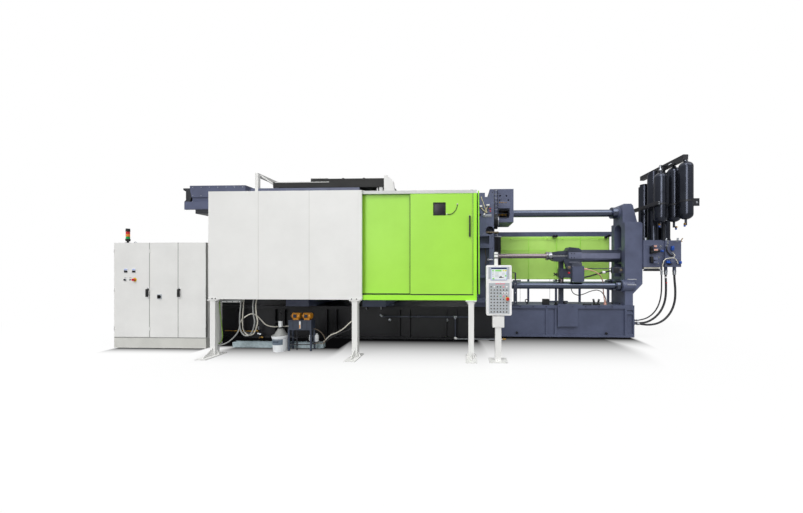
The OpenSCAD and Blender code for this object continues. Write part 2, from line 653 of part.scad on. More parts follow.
module rear_guard_panels() {
    color("#e3e3e1") mirror([0, 1, 0]) {
        for (i = [0 : 2]) {
            x0 = i == 0 ? guard_x0 : SEAMS[i - 1] + 3;
            tray(x0, SEAMS[i] - 1, panel_z[0], panel_z[1], -panel_y0, panel_t, 6);
        }
        tray(SEAMS[2] + 3, 300, post_top, 2990, -door_y, panel_t, 6);
        tray(303, guard_x1, post_top, 2990, -door_y, panel_t, 6);
        block([guard_x1 - 60, -door_y + panel_t, post_top], [guard_x1, -frame_in, 2992]);
        block([SEAMS[2], -door_y + panel_t, post_top], [guard_x1 - 60, -frame_in, 1105]);
    }
    // dark skirt down to the floor between the rear posts
    color("#23262d") {
        block([guard_x0, 1800, 40], [guard_x1, 1812, post_top - 15]);
        for (x = [-2700, -1760]) block([x, 1784, 0], [x + 40, 1801, bottom_rail]);
        block([200, 1784, 0], [240, 1801, post_top + 10]);
    }
}
module door_surround() {
    color("#a6f23c") {
        block([SEAMS[2], -door_y, post_top], [guard_x1, -frame_in, door_z0 - 4]);
        block([leaf_x1 + 4, -door_y, door_z0 - 4], [guard_x1, -frame_in, 2992]);
        // narrow closing strip beside the fixed platen
        slab_y(-1800, -1786) polygon([[1376, 3056], [1400, 3056], [1413, 1150], [1387, 1150]]);
    }
    color("#23262d") slab_y(-1788, -1776) polygon([[guard_x1 - 20, 2990], [1396, 2990], [1408, 1150], [guard_x1 - 20, 1150]]);
}
module leading_door() {
    color("#a8e64a") difference() {
        union() {
            tray(leaf_split, leaf_x1, door_z0, door_z1, -door_y, leaf_t, 5);
            block([555, -door_y, 2580], [795, -door_y + leaf_t, 2835]);
        }
        block([572, -door_y - 1, 2600], [778, -door_y + leaf_t + 1, 2815]);
    }
}
module door_window() { color("#20242a") block([572, -door_y + 8, 2600], [778, -door_y + 20, 2815]); }
module door_handle() {
    x = 1227;
    color("#202126") {
        block([x - 14, -door_y - 42, 2212], [x + 14, -door_y - 22, 2568]);
        for (z = [2222, 2534]) block([x - 12, -door_y - 30, z], [x + 12, -door_y, z + 24]);
    }
}
module door_cable() { color("#202126") hose(DOOR_CABLE, -door_y - 6.5, 6, 8); }
module trailing_door() {
    color("#a8e64a") tray(SEAMS[2] - 40, leaf_split + 48, door_z0, door_z1, -door_y + leaf_t + 10, leaf_t, 5);
}
module shot_guard() {
    y = 1000;
    x = [2142, 2907, 3673, 4322, 5100];
    color("#b4e470") for (i = [0 : 3]) tray(x[i], x[i + 1] - 4, 1309, 2494, y, 30, 4);
    color("#3d4356") {
        block([1962, y, 2494], [x[4] + 90, y + 60, 2620]);
        // closing plate and upright at the platen's end
        block([1860, y + 20, 1309], [2046, y + 30, 2500]);
        block([2044, y - 6, 14], [2130, y + 60, 2500]);
        for (i = [0 : 4]) block([x[i] - 25, y + 30, 14], [x[i] + 25, y + 80, 2500]);
        for (i = [0 : 4]) block([x[i] - 90, y - 40, 0], [x[i] + 90, y + 150, 14]);
    }
}
module roof_cover() {
    color("#42454d") {
        block([-1807, -1700, 3256], [roof_x[1] - 10, 1700, 3336]);
        for (x = [-1600, -1200, -800]) block([x, -1700, 3336], [x + 40, 1700, 3346]);
    }
}
module hydraulic_housing() {
    x0 = -4970;
    x1 = -3700;
    color("#60688a") {
        block([x0, -900, 3197], [x1, 600, 3456]);
        block([x0 + 40, -880, 3102], [x1, 580, 3198]);
        block([-4860, -900, 2928], [x1, 600, 3103]);
        block([-5097, -900, 2928], [-4859, -860, 3103]);
    }
    color("#23262d") {
        // end bracket and the pump casing underneath
        slab_y(-900, -850) polygon([[-5120, 3400], [-5120, 3360], [-5060, 3330], [-5060, 3140], [-5097, 3102],
            [-4969, 3102], [-4930, 3200], [-4969, 3400]]);
        block([-4850, -890, 2836], [x1 - 10, 500, 2929]);
        for (y = [-500, 400]) block([-3900, y, tank_top], [-3800, y + 100, 2837]);
        block([-3900, -400, 2700], [-3800, 400, 2800]);
    }
}

// ---- electrical cabinet ----
module cabinet_body() {
    y1 = cab_y + cabinet_d;
    wall = 20;
    front = cab_y + cab_leaf_t + 2;
    color("#dededc") {
        difference() {
            block([cab_x0, front, plinth_h], [cab_x1, y1, cabinet_h]);
            for (i = [0 : 2])
                block([CAB_SPLITS[i] + (i == 0 ? wall : wall / 2), front - 1, plinth_h + wall],
                    [CAB_SPLITS[i + 1] - (i == 2 ? wall : wall / 2), y1 - wall, cabinet_h - wall]);
        }
        block([cab_x0, cab_y + 3, 0], [cab_x1, y1, plinth_h]);
    }
    // mounting plates inside the three bays
    color("#e9dfc0") for (i = [0 : 2])
        block([CAB_SPLITS[i] + 60, y1 - wall - 40, 320], [CAB_SPLITS[i + 1] - 60, y1 - wall, 2040]);
}
module cabinet_leaf(i) {
    color("#e2e2e0") tray(CAB_SPLITS[i] + 2, CAB_SPLITS[i + 1] - 2, plinth_h + 2, cabinet_h, cab_y, cab_leaf_t, 3);
    // hinge barrels
    color("#b9bcc2") for (z = [360, 1150, 1940]) rod_z(z, z + 70, CAB_HINGES[i], cab_y, 9);
}
module cabinet_door_left() {
    difference() {
        cabinet_leaf(0);
        rod_y(cab_y - 1, cab_y + 30, cab_stop[0], cab_stop[1], cab_stop_r);
    }
    color("#e8e8e8") for (x = [-5780, -5608]) block([x - 40, cab_y - 8, 1535], [x + 40, cab_y + 3, 1622]);
    color("#30343a") {
        rod_y(cab_y - 20, cab_y + 3, -5799, cab_stop[1], 18);
        rod_y(cab_y - 10, cab_y + 3, -5690, cab_stop[1], 12);
    }
    color("#e6c400") difference() {
        rod_y(cab_y - 2, cab_y + 3, cab_stop[0], cab_stop[1], 42);
        rod_y(cab_y - 60, cab_y + 30, cab_stop[0], cab_stop[1], cab_stop_r);
    }
}
module cabinet_door_middle() { cabinet_leaf(1); }
module cabinet_door_right() { cabinet_leaf(2); }
module cabinet_handle(x) {
    color("#1d1e22") {
        rod_y(cab_y - 12, cab_y - 0.3, x, handle_z, 22);
        block([x - 15, cab_y - 40, handle_z - 145], [x + 15, cab_y - 12, handle_z + 12]);
    }
}
module cabinet_handle_left() { cabinet_handle(-5312); }
module cabinet_handle_right() { cabinet_handle(-4652); }
module cabinet_main_switch() {
    color("#17181b") {
        rod_y(cab_y - 14, cab_y - 0.3, -5073, 1048, 34);
        block([-5081, cab_y - 40, 1018], [-5065, cab_y - 14, 1078]);
    }
}
module cabinet_stop_button() {
    color("#d3202a") {
        rod_y(cab_y - 40, cab_y - 12, cab_stop[0], cab_stop[1], 26);
        rod_y(cab_y - 12, cab_y + 20, cab_stop[0], cab_stop[1], cab_stop_r - 0.1);
    }
}
module signal_tower() {
    x = -5886;
    y = -1330;
    color("#30343a") {
        rod_z(cabinet_h, cabinet_h + 12, x, y, 45);
        rod_z(cabinet_h, 2190, x, y, 12);
        rod_z(2185, 2220, x, y, 34);
        rod_z(2420, 2450, x, y, 33);
    }
    color("#d3202a") rod_z(2360, 2420, x, y, 30);
    color("#e68a1e") rod_z(2290, 2360, x, y, 30);
    color("#2f9a45") rod_z(2220, 2290, x, y, 30);
}

// ---- control pedestal ----
module panel_post() {
    color("#ececec") {
        difference() {
            block([panel_x - 160, panel_y - 140, 0], [panel_x + 160, panel_y + 135, 14]);
            for (dx = [-130, 130], dy = [-110, 105]) rod_z(-1, 15, panel_x + dx, panel_y + dy, 9);
        }
        block([panel_x - 52, panel_y - 50, 14], [panel_x + 52, panel_y + 50, 770]);
        block([panel_x - 100, panel_y - 62, 598], [panel_x + 100, panel_y + 62, 790]);
        rod_z(789, 870, panel_x, panel_y, 40);
    }
}
module panel_box() {
    color("#f0f0f0") difference() {
        union() {
            slab_y(panel_front, -1950) translate([panel_x - 211, 806]) rounded([441, 877], 30);
            rod_z(1683, 1912, panel_x - 35, panel_y, panel_stem_r);
        }
        rod_z(790, 885, panel_x, panel_y, 40 + running_gap);
        rod_y(panel_front - 10, panel_front + 30, panel_stop[0], panel_stop[1], panel_stop_r);
    }
}
module panel_face() {
    color("#9aa2a8") {
        block([panel_x - 175, panel_front - 6, 1445], [panel_x + 190, panel_front, 1650]);
        difference() {
            block([panel_x - 165, panel_front - 6, 840], [panel_x + 190, panel_front, 1372]);
            rod_y(panel_front - 10, panel_front + 10, panel_stop[0], panel_stop[1], panel_stop_r);
        }
    }
}
module panel_stop_button() {
    color("#d3202a") {
        rod_y(panel_front - 50, panel_front - 20, panel_stop[0], panel_stop[1], 28);
        rod_y(panel_front - 20, panel_front + 20, panel_stop[0], panel_stop[1], panel_stop_r - 0.1);
    }
}

// ---- small units under the guard ----
module lubrication_unit() {
    x = [-2338, -1869];
    y = [-1560, -1395];
    color("#3a3d44") {
        block([x[0], y[0], 410], [x[1], y[1], 430]);
        for (px = [x[0], x[1] - 30], py = [y[0], y[1] - 30]) block([px, py, 0], [px + 30, py + 30, 410]);
        for (px = [x[0], x[1] - 30]) block([px, y[0], 120], [px + 30, y[1], 140]);
        block([x[0] + 5, y[0] + 5, 430], [x[1] - 5, y[1] - 5, 600]);
    }
    // two motors lying on their feet, each with a terminal box
    color("#e27a2a") for (mx = [-2210, -1990]) rod_x(mx - 85, mx + 85, -1475, 682, 58);
    color("#3a3d44") for (mx = [-2210, -1990]) {
        block([mx - 55, -1510, 599], [mx + 55, -1440, 640]);
        block([mx - 30, -1552, 655], [mx + 30, -1500, 715]);
    }
}
module oil_pail() {
    x = -2504;
    y = -1530;
    color("#e9ebec") {
        translate([x, y, 0]) cylinder(h = 286, r1 = 128, r2 = 147, $fn = 64);
        rod_z(285, 308, x, y, 156);
    }
    // hand pump on the lid
    color("#6d7278") translate([x, y, 307]) cylinder(h = 140, r1 = 120, r2 = 42, $fn = 48);
    color("#dfe2e4") rod_z(446, 586, x, y, 37);
    color("#34373d") rod_z(585, 762, x, y, 13);
}
module floor_channel() {
    color("#b9bcc2") difference() {
        block([guard_x0 - 29, -1340, 0], [-1744, -1240, 108]);
        block([guard_x0 - 28, -1334, 6], [-1745, -1246, 109]);
    }
}
module water_pipes() {
    color("#4b5162") {
        rod_x(-720, 1235, -720, 545, 16);
        rod_z(60, 545, 925, -720, 16);
        rod_x(925, 1960, -720, 60, 12);
        for (x = [-700, 100, 900]) block([x - 20, -735, 525], [x + 20, -655, 565]);
        translate([925, -720, 545]) sphere(r = 24, $fn = 24);
        translate([925, -720, 60]) sphere(r = 22, $fn = 24);
    }
    color("#b8933f") rod_x(1960, 2040, -720, 60, 20);
}

levelling_pads();
clamp_bed();
shot_bed();
fixed_platen();
rod_bracket();
tie_bars();
tie_bar_nuts();
rear_platen();
clamp_cylinder();
moving_platen();
ejector_plate();
crosshead();
upper_rear_links();
lower_rear_links();
upper_front_links();
lower_front_links();
upper_short_links();
lower_short_links();
c_frame();
guide_rods();
shot_cylinder();
plunger_rod();
shot_sleeve();
manifold_block();
piston_accumulators();
nitrogen_bottles();
bottle_rack();
hose_front();
hose_middle();
hose_rear();
guard_posts();
guard_frame();
guard_panels();
rear_guard_panels();
door_surround();
leading_door();
door_window();
door_handle();
door_cable();
trailing_door();
shot_guard();
roof_cover();
hydraulic_housing();
cabinet_body();
cabinet_door_left();
cabinet_door_middle();
cabinet_door_right();
cabinet_handle_left();
cabinet_handle_right();
cabinet_main_switch();
cabinet_stop_button();
signal_tower();
panel_post();
panel_box();
panel_face();
panel_stop_button();
lubrication_unit();
oil_pail();
floor_channel();
water_pipes();
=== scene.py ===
# %% [markdown]
# # A cold chamber die casting machine
#
# This lesson dresses a finished mechanical model. The solid parts of the
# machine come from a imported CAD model, and each of them keeps its place and
# its joints. What Blender adds is the finish: paint, steel, rubber and
# plastic, softened edges that catch the light, and the small fittings that
# make a machine look real.

# %% Load the solid parts
import json
import math

import bmesh
import bpy
import numpy as np
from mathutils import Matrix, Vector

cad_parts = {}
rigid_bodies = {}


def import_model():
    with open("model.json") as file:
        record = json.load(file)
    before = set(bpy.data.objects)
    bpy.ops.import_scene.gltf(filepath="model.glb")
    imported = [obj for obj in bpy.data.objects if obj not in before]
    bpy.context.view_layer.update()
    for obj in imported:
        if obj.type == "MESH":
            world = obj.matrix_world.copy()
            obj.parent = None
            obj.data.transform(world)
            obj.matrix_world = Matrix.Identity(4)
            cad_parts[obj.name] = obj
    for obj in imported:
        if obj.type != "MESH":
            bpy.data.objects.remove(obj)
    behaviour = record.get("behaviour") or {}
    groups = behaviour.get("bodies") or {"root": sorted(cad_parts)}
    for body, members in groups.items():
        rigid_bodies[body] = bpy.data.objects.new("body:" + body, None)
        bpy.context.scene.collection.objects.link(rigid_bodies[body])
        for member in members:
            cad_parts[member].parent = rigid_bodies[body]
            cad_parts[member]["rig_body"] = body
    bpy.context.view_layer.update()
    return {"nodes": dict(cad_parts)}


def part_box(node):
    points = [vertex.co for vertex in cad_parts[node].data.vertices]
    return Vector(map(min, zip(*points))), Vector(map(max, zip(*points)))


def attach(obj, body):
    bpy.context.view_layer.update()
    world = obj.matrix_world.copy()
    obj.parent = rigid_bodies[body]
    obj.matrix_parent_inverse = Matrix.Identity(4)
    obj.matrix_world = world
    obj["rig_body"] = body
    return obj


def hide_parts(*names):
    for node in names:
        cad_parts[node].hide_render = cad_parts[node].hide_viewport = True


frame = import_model()
nodes = frame["nodes"]

# %% [markdown]
# ## The camera
#
# The camera stands in front of the control pedestal at eye height. It has a
# wide lens and is held level, because a level camera keeps upright edges
# upright. The view is then framed by shifting the sensor, as a view camera
# does. Tilting it would make the cabinet and the guards lean.

# %% Place the camera
SENSOR_WIDTH = 36.0
LENS = 13.13574
SHIFT = (-0.0663, 0.0131)
EYE = (1.14, -7.2, 1.65)
TURN = math.radians(2.0)

camera_data = bpy.data.cameras.new("operator_side_camera")
camera_data.sensor_width = SENSOR_WIDTH
camera_data.lens = LENS
camera_data.shift_x, camera_data.shift_y = SHIFT
camera = bpy.data.objects.new("operator_side_camera", camera_data)
camera.location = EYE
camera.rotation_euler = (math.radians(90), 0, TURN)
bpy.context.scene.collection.objects.link(camera)
bpy.context.scene.camera = camera
print("lens:", round(camera_data.lens, 2), "mm")

# %% [markdown]
# ## Shapes from arrays
#
# Every new piece is a surface worked out with numpy. A grid of points, rows
# along the piece and columns round it, becomes a skin when each point is
# joined to its neighbours. Computing whole arrays at once is short to write
# and quick to run, and one joining rule serves turned, swept and boxed
# shapes alike. A shape is a pair: its points and its faces. Shapes are drawn
# in millimetres, as on a workshop drawing, and a piece is made in metres.

# %% Skin a grid
MM_PER_METRE = 1000


def skin(rows, columns):
    """Each point (i, j) of a closed-round grid makes a four-sided face with three neighbours:
    (i, j + 1), (i + 1, j + 1) and (i + 1, j)."""
    i = np.arange(rows - 1)[:, None] * columns
    j = np.arange(columns)[None, :]
    k = (j + 1) % columns
    faces = np.stack([i + j, i + k, i + columns + k, i + columns + j], axis=-1)
    return faces.reshape(-1, 4).tolist()


def capped(points):
    """Skins a grid of points and closes its first and last rows with one face each. The grid
    runs rows by columns by 3."""
    rows, columns = points.shape[:2]
    last = (rows - 1) * columns
    first_cap = list(range(columns - 1, -1, -1))
    last_cap = list(range(last, last + columns))
    return points.reshape(-1, 3), skin(rows, columns) + [first_cap, last_cap]


def joined(*shapes):
    """Puts shapes into one: the points follow each other, and each shape's faces count from
    where its points start."""
    points, faces, start = [], [], 0
    for shape_points, shape_faces in shapes:
        points.append(shape_points)
        faces += [[start + corner for corner in face] for face in shape_faces]
        start += len(shape_points)
    return np.concatenate(points), faces


def repeated(shape, places):
    """Copies a shape to each place: its points plus the place, for every place."""
    return joined(*[(shape[0] + np.array(place, float), shape[1]) for place in places])


# %% Turn, sweep and box
AXES = {"x": (1, 2, 0), "y": (2, 0, 1), "z": (0, 1, 2)}


def turned(profile, axis="z", sides=32, place=(0, 0, 0)):
    """A profile of (radius, height) pairs carried round an axis: at angle a the point stands at
    radius times cos a, radius times sin a, height."""
    radius, height = np.array(profile, float).T
    angle = np.arange(sides) * 2 * math.pi / sides
    points = np.zeros((len(radius), sides, 3))
    across, up, along = AXES[axis]
    points[..., across] = radius[:, None] * np.cos(angle)
    points[..., up] = radius[:, None] * np.sin(angle)
    points[..., along] = height[:, None]
    return capped(points + np.array(place, float))


def smooth_path(stations, spacing):
    """A curve through stations: between two of them the four nearest are mixed by the
    Catmull-Rom cubic weights, and the curve is then walked in equal steps."""
    p = np.array(stations, float)
    p = np.concatenate([[2 * p[0] - p[1]], p, [2 * p[-1] - p[-2]]])
    t = np.linspace(0, 1, 12, endpoint=False)[:, None]
    a, b, c, d = (p[k : len(p) - 3 + k, None, :] for k in range(4))
    fine = 0.5 * (
        2 * b + (c - a) * t + (2 * a - 5 * b + 4 * c - d) * t**2
        + (3 * b - a - 3 * c + d) * t**3
    )
    fine = np.concatenate([fine.reshape(-1, 3), p[-2:-1]])
    walked = np.concatenate([[0], np.cumsum(np.linalg.norm(np.diff(fine, axis=0), axis=1))])
    steps = np.linspace(0, walked[-1], max(3, int(walked[-1] / spacing) + 1))
    return np.stack([np.interp(steps, walked, fine[:, k]) for k in range(3)], axis=-1)


def swept(path, profile, across=(0, 1, 0)):
    """A closed profile of (side, up) pairs carried along a path: each point is the path's
    point, plus side times the direction across, plus up times the normal."""
    path = np.array(path, float)
    profile = np.array(profile, float)
    ahead = np.gradient(path, axis=0)
    ahead /= np.linalg.norm(ahead, axis=1, keepdims=True)
    normal = np.cross(ahead, np.array(across, float))
    normal /= np.linalg.norm(normal, axis=1, keepdims=True)
    side = np.cross(normal, ahead)
    points = (
        path[:, None, :]
        + profile[None, :, :1] * side[:, None, :]
        + profile[None, :, 1:] * normal[:, None, :]
    )
    return capped(points)


def circle(radius, sides=10):
    """Points at equal angles round a circle, taken clockwise seen from ahead."""
    angle = np.arange(sides) * 2 * math.pi / sides
    return np.stack([radius * np.cos(angle), radius * np.sin(angle)], axis=-1)


def boxed(low, high, edge, steps=3):
    """A box with rounded edges: a unit sphere is cut through its middle three times, scaled to
    the edge radius, and its eight parts move out to the corners."""
    low, high = np.array(low, float), np.array(high, float)
    edge = min(edge, *(0.499 * (high - low)))
    quarter = np.linspace(0, math.pi / 2, steps + 1)
    turn = np.concatenate([quarter + k * math.pi / 2 for k in range(4)])
    turn_sign = np.repeat([[1, 1], [-1, 1], [-1, -1], [1, -1]], steps + 1, axis=0)
    rise = np.concatenate([quarter - math.pi / 2, quarter])
    rise_sign = np.repeat([-1, 1], steps + 1)
    ball = np.stack(
        [
            np.cos(rise)[:, None] * np.cos(turn)[None, :],
            np.cos(rise)[:, None] * np.sin(turn)[None, :],
            np.broadcast_to(np.sin(rise)[:, None], (len(rise), len(turn))),
        ],
        axis=-1,
    )
    corner = np.zeros_like(ball)
    corner[..., :2] = turn_sign[None, :, :]
    corner[..., 2] = rise_sign[:, None]
    middle, reach = (low + high) / 2, (high - low) / 2 - edge
    return capped(middle + corner * reach + edge * ball)


def bar(start, end, radius, sides=16):
    """A round bar: a circle carried along the straight line from start to end."""
    line = np.linspace(start, end, 2)
    ahead = np.abs(line[1] - line[0])
    across = (1, 0, 0) if ahead[1] > max(ahead[0], ahead[2]) else (0, 1, 0)
    return swept(line, circle(radius, sides), across)


# %% Make pieces
fresh = []


def piece(name, material, *shapes, body="machine", smooth_below=35):
    """Puts shapes into one mesh, in metres. Doubled points are merged and faces turned
    outwards, and the piece rides on a body."""
    points, faces = joined(*shapes)
    mesh = bpy.data.meshes.new(name)
    mesh.from_pydata((points / MM_PER_METRE).tolist(), [], faces)
    work = bmesh.new()
    work.from_mesh(mesh)
    bmesh.ops.remove_doubles(work, verts=work.verts, dist=1e-6)
    bmesh.ops.recalc_face_normals(work, faces=work.faces)
    work.to_mesh(mesh)
    work.free()
    mesh.polygons.foreach_set("use_smooth", np.ones(len(mesh.polygons), bool))
    mesh.set_sharp_from_angle(angle=math.radians(smooth_below))
    mesh.materials.append(material)
    made = bpy.data.objects.new(name, mesh)
    bpy.context.scene.collection.objects.link(made)
    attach(made, body)
    fresh.append(name)
    return made


def tell(what):
    """Prints how many pieces were made since the last time it was asked."""
    print(f"{what}: {len(fresh)} pieces")
    fresh.clear()


def riding(body):
    """The same way to make a piece, with its body already given."""
    return lambda name, material, *shapes: piece(name, material, *shapes, body=body)


# %% [markdown]
# ## Nodes with one helper
#
# All materials are procedural, so nothing is read from disk and every
# pattern has a real size. One function adds a node, fills its inputs and
# links what feeds it. A second one turns the hex colour of a paint chart
# into the linear light that the renderer works in.

# %% Colour and node helpers
def linear(code):
    """sRGB to linear: a channel below 0.04045 is divided by 12.92, and any other is (channel +
    0.055) / 1.055 to the power 2.4."""
    channels = [int(code[k : k + 2], 16) / 255 for k in (1, 3, 5)]
    light = [c / 12.92 if c <= 0.04045 else ((c + 0.055) / 1.055) ** 2.4 for c in channels]
    return (*light, 1.0)


def add(tree, kind, settings=None, links=None):
    """Adds one node. A setting is an input's name or number, or else a property of the node. A
    link is an input's name or number and the output that feeds it."""
    node = tree.nodes.new(kind)
    for key, value in (settings or {}).items():
        if isinstance(key, int) or key in node.inputs:
            node.inputs[key].default_value = value
        else:
            setattr(node, key, value)
    for key, source in (links or {}).items():
        tree.links.new(source, node.inputs[key])
    return node


def per_metre(size_mm):
    """A pattern's scale: how many features of that size fit in a metre."""
    return MM_PER_METRE / size_mm


def new_material(name):
    """An empty node material, with its output node."""
    material = bpy.data.materials.new(name)
    material.use_nodes = True
    tree = material.node_tree
    tree.nodes.clear()
    return material, tree, add(tree, "ShaderNodeOutputMaterial")


# %% [markdown]
# ## Coatings and metals
#
# Painted steel is never one flat colour. The film is a little thicker in
# some places, it has the faint dimples of orange peel, and handling leaves
# some areas shinier. `coating` mixes a base colour with a slightly darker one
# through soft clouds, and gives the film a fine bump. Real orange peel is
# about 2 mm wide, too fine for a machine twelve metres long, so the clouds
# carry what the eye sees from across the hall, and the peel shows up close.

# %% What every finish shares
def dress(tree, out, colours, blend, roughness, vary, bump, height, settings):
    """Two colours blended by one pattern, a roughness that varies between two values by
    another, and a bump from a third."""
    codes = {"data_type": "RGBA", 6: linear(colours[0]), 7: linear(colours[1])}
    tint = add(tree, "ShaderNodeMix", codes, {0: blend}).outputs[2]
    limits = {"To Min": roughness[0], "To Max": roughness[1]}
    sheen = add(tree, "ShaderNodeMapRange", limits, {"Value": vary}).outputs["Result"]
    depth = {"Strength": bump[0], "Distance": bump[1]}
    normal = add(tree, "ShaderNodeBump", depth, {"Height": height}).outputs["Normal"]
    feeds = {"Base Color": tint, "Roughness": sheen, "Normal": normal}
    shader = add(tree, "ShaderNodeBsdfPrincipled", settings, feeds)
    tree.links.new(shader.outputs[0], out.inputs[0])


# %% Paint
def coating(name, colour, shade, roughness, cloud_mm, peel_mm, bump, coat=0.0, metallic=0.0):
    """Paint or plastic: clouds of noise blend the colour with its shade and vary the roughness,
    and a finer noise bumps the film."""
    material, tree, out = new_material(name)
    place = add(tree, "ShaderNodeTexCoord").outputs["Object"]
    coarse = {"Scale": per_metre(cloud_mm), "Detail": 5.0, "Roughness": 0.6}
    clouds = add(tree, "ShaderNodeTexNoise", coarse, {"Vector": place}).outputs["Fac"]
    ends = {"From Min": 0.35, "From Max": 0.7, "To Min": 0.0, "To Max": 1.0}
    blend = add(tree, "ShaderNodeMapRange", ends, {"Value": clouds}).outputs["Result"]
    fine = {"Scale": per_metre(peel_mm), "Detail": 2.0}
    peel = add(tree, "ShaderNodeTexNoise", fine, {"Vector": place}).outputs["Fac"]
    limits = (roughness - 0.05, roughness + 0.07)
    settings = {"Metallic": metallic, "Coat Weight": coat, "Coat Roughness": 0.12}
    dress(tree, out, (colour, shade), blend, limits, clouds, (bump, 0.0006), peel, settings)
    return material


# %% Metal
def metal(name, colour, shade, roughness, grain_mm, stretch, bump=0.15):
    """Bare metal: noise stretched along the lay of the cut varies colour and roughness, as
    turning or grinding marks do."""
    material, tree, out = new_material(name)
    place = add(tree, "ShaderNodeTexCoord").outputs["Object"]
    lay = add(tree, "ShaderNodeMapping", {"Scale": stretch}, {"Vector": place}).outputs[0]
    grain = {"Scale": per_metre(grain_mm), "Detail": 4.0, "Roughness": 0.65}
    marks = add(tree, "ShaderNodeTexNoise", grain, {"Vector": lay}).outputs["Fac"]
    limits = (roughness - 0.08, roughness + 0.12)
    dress(tree, out, (colour, shade), marks, limits, marks, (bump, 0.0004), marks, {"Metallic": 1.0})
    return material


# %% [markdown]
# ## The finishes of this machine
#
# Castings and beds wear a blue-grey satin enamel, sprayed over filled iron,
# so its clouds are wide and soft. Guards are thin sheet with powder coat,
# baked smooth: white at the clamp, bright green at the door. Bottles are
# gloss enamel, rods are ground steel, and small fittings are brass, zinc or
# moulded plastic.

# %% Mix the finishes
bed_enamel = coating("satin_enamel_on_welded_bed", "#50576F", "#454B61", 0.42, 420, 9, 0.25)
# The clamp bed's near-black enamel is painted shade: it stands for the deep shade under the clamp guard.
bed_shade_enamel = coating("oily_enamel_on_clamp_bed", "#12131A", "#0B0C11", 0.45, 300, 9, 0.3)
casting_enamel = coating("satin_enamel_on_castings", "#5A617B", "#4D536B", 0.40, 350, 12, 0.35)
link_enamel = coating("satin_enamel_on_links", "#6C7388", "#5D6378", 0.40, 200, 12, 0.3)
housing_enamel = coating("satin_enamel_on_housing", "#535A76", "#484E66", 0.40, 400, 9, 0.2)
dark_enamel = coating("semi_gloss_dark_enamel", "#3A3F4F", "#303543", 0.34, 220, 10, 0.3)
black_enamel = coating("black_enamel_on_brackets", "#24262D", "#1B1D22", 0.36, 160, 8, 0.3)
bottle_enamel = coating(
    "gloss_black_enamel_on_bottles", "#454954", "#3B3E48", 0.23, 260, 25, 0.0, metallic=0.85
)
white_powder = coating("white_powder_coat_on_guards", "#E6E6E4", "#E0E0DE", 0.38, 700, 5, 0.12)
grey_powder = coating("pale_grey_powder_coat_on_frame", "#D2D3D2", "#C6C8C8", 0.40, 400, 5, 0.12)
cabinet_powder = coating("textured_powder_coat_on_cabinet", "#E2E2E0", "#DADAD8", 0.45, 600, 3, 0.3)
plinth_powder = coating("powder_coat_on_plinth", "#CCCCC7", "#C2C2BD", 0.45, 400, 3, 0.3)
green_powder = coating("green_powder_coat_on_door", "#A8E64A", "#A2DF45", 0.36, 650, 5, 0.12)
sill_powder = coating("bright_green_powder_coat_on_sill", "#A6F23C", "#A0EA38", 0.36, 500, 5, 0.12)
rear_green_powder = coating("green_powder_coat_on_rear_guard", "#C4F47A", "#BAEA70", 0.38, 450, 5, 0.12)
black_steel = coating("black_oxide_steel", "#26282D", "#1C1D21", 0.38, 60, 6, 0.2, metallic=0.5)
hose_cover = coating("matt_rubber_hose_cover", "#2A2B30", "#202125", 0.55, 60, 3, 0.35)
black_plastic = coating("moulded_black_plastic", "#161719", "#101113", 0.42, 90, 3, 0.15)
white_plastic = coating("moulded_white_plastic", "#F0F0F0", "#EAEAEA", 0.32, 150, 4, 0.08)
keypad_grey = coating("printed_membrane_foil", "#B4B9BE", "#AAB0B5", 0.45, 60, 3, 0.08)
key_dark = coating("moulded_key_caps", "#34373C", "#2B2E33", 0.4, 20, 2, 0.1)
red_plastic = coating("moulded_red_plastic", "#D3202A", "#BE1B24", 0.3, 60, 3, 0.08, coat=0.3)
yellow_plastic = coating("moulded_yellow_plastic", "#E6C400", "#DAB900", 0.35, 60, 3, 0.08)
blue_plastic = coating("moulded_blue_plastic", "#1F55B8", "#1B4BA3", 0.32, 40, 3, 0.08, coat=0.2)
motor_orange = coating("orange_motor_enamel", "#EBA032", "#D88E24", 0.38, 60, 4, 0.2)
motor_blue = coating("dark_blue_name_plate", "#22324A", "#1C293D", 0.35, 40, 3, 0.1)
tank_blue_grey = coating("dark_tank_enamel", "#3E4656", "#333A48", 0.4, 90, 4, 0.2)
pail_white = coating("white_polyethylene_pail", "#EEF1F3", "#E4E8EB", 0.3, 120, 3, 0.08)
patch_grey = coating("grey_blue_film_label", "#6C7A88", "#616E7B", 0.4, 60, 3, 0.08)
# Black for real seals and seams, and for painted shade in the door and flange gaps.
seam_black = coating("black_sealing_strip", "#1A1B1E", "#131417", 0.6, 60, 3, 0.2)
cable_white = coating("pale_cable_jacket", "#D9D6CA", "#C9C5B8", 0.5, 80, 3, 0.1)
cable_grey = coating("grey_cable_jacket", "#9A9C9A", "#868886", 0.5, 80, 3, 0.1)
cable_black = coating("black_cable_jacket", "#222327", "#1A1B1E", 0.5, 80, 3, 0.1)
roof_dark = coating("dark_roof_sheet", "#161716", "#0F100F", 0.6, 260, 8, 0.3)
plate_cream = coating("zinc_chromate_mounting_plate", "#E3DCC8", "#D8D0BA", 0.4, 200, 5, 0.1)

bright_steel = metal("turned_bright_steel", "#C9CCD2", "#A6A9B0", 0.26, 14, (1, 1, 1))
tie_bar_steel = metal("ground_tie_bar_steel", "#C4C7CE", "#9EA2AA", 0.24, 18, (0.15, 1, 1))
rod_steel = metal("blackened_guide_rod_steel", "#777F92", "#5A6172", 0.28, 30, (0.1, 1, 1))
plunger_steel = metal("ground_plunger_steel", "#BDB0B4", "#8C8084", 0.22, 14, (0.1, 1, 1))
zinc_steel = metal("zinc_plated_steel", "#BFC3C9", "#9CA1A8", 0.32, 10, (1, 1, 1))
channel_steel = coating("galvanised_channel_steel", "#B4C4C9", "#97A8AE", 0.45, 45, 4, 0.2, metallic=0.1)
brass = metal("turned_brass", "#C9A15A", "#A67F3D", 0.28, 8, (1, 1, 1))

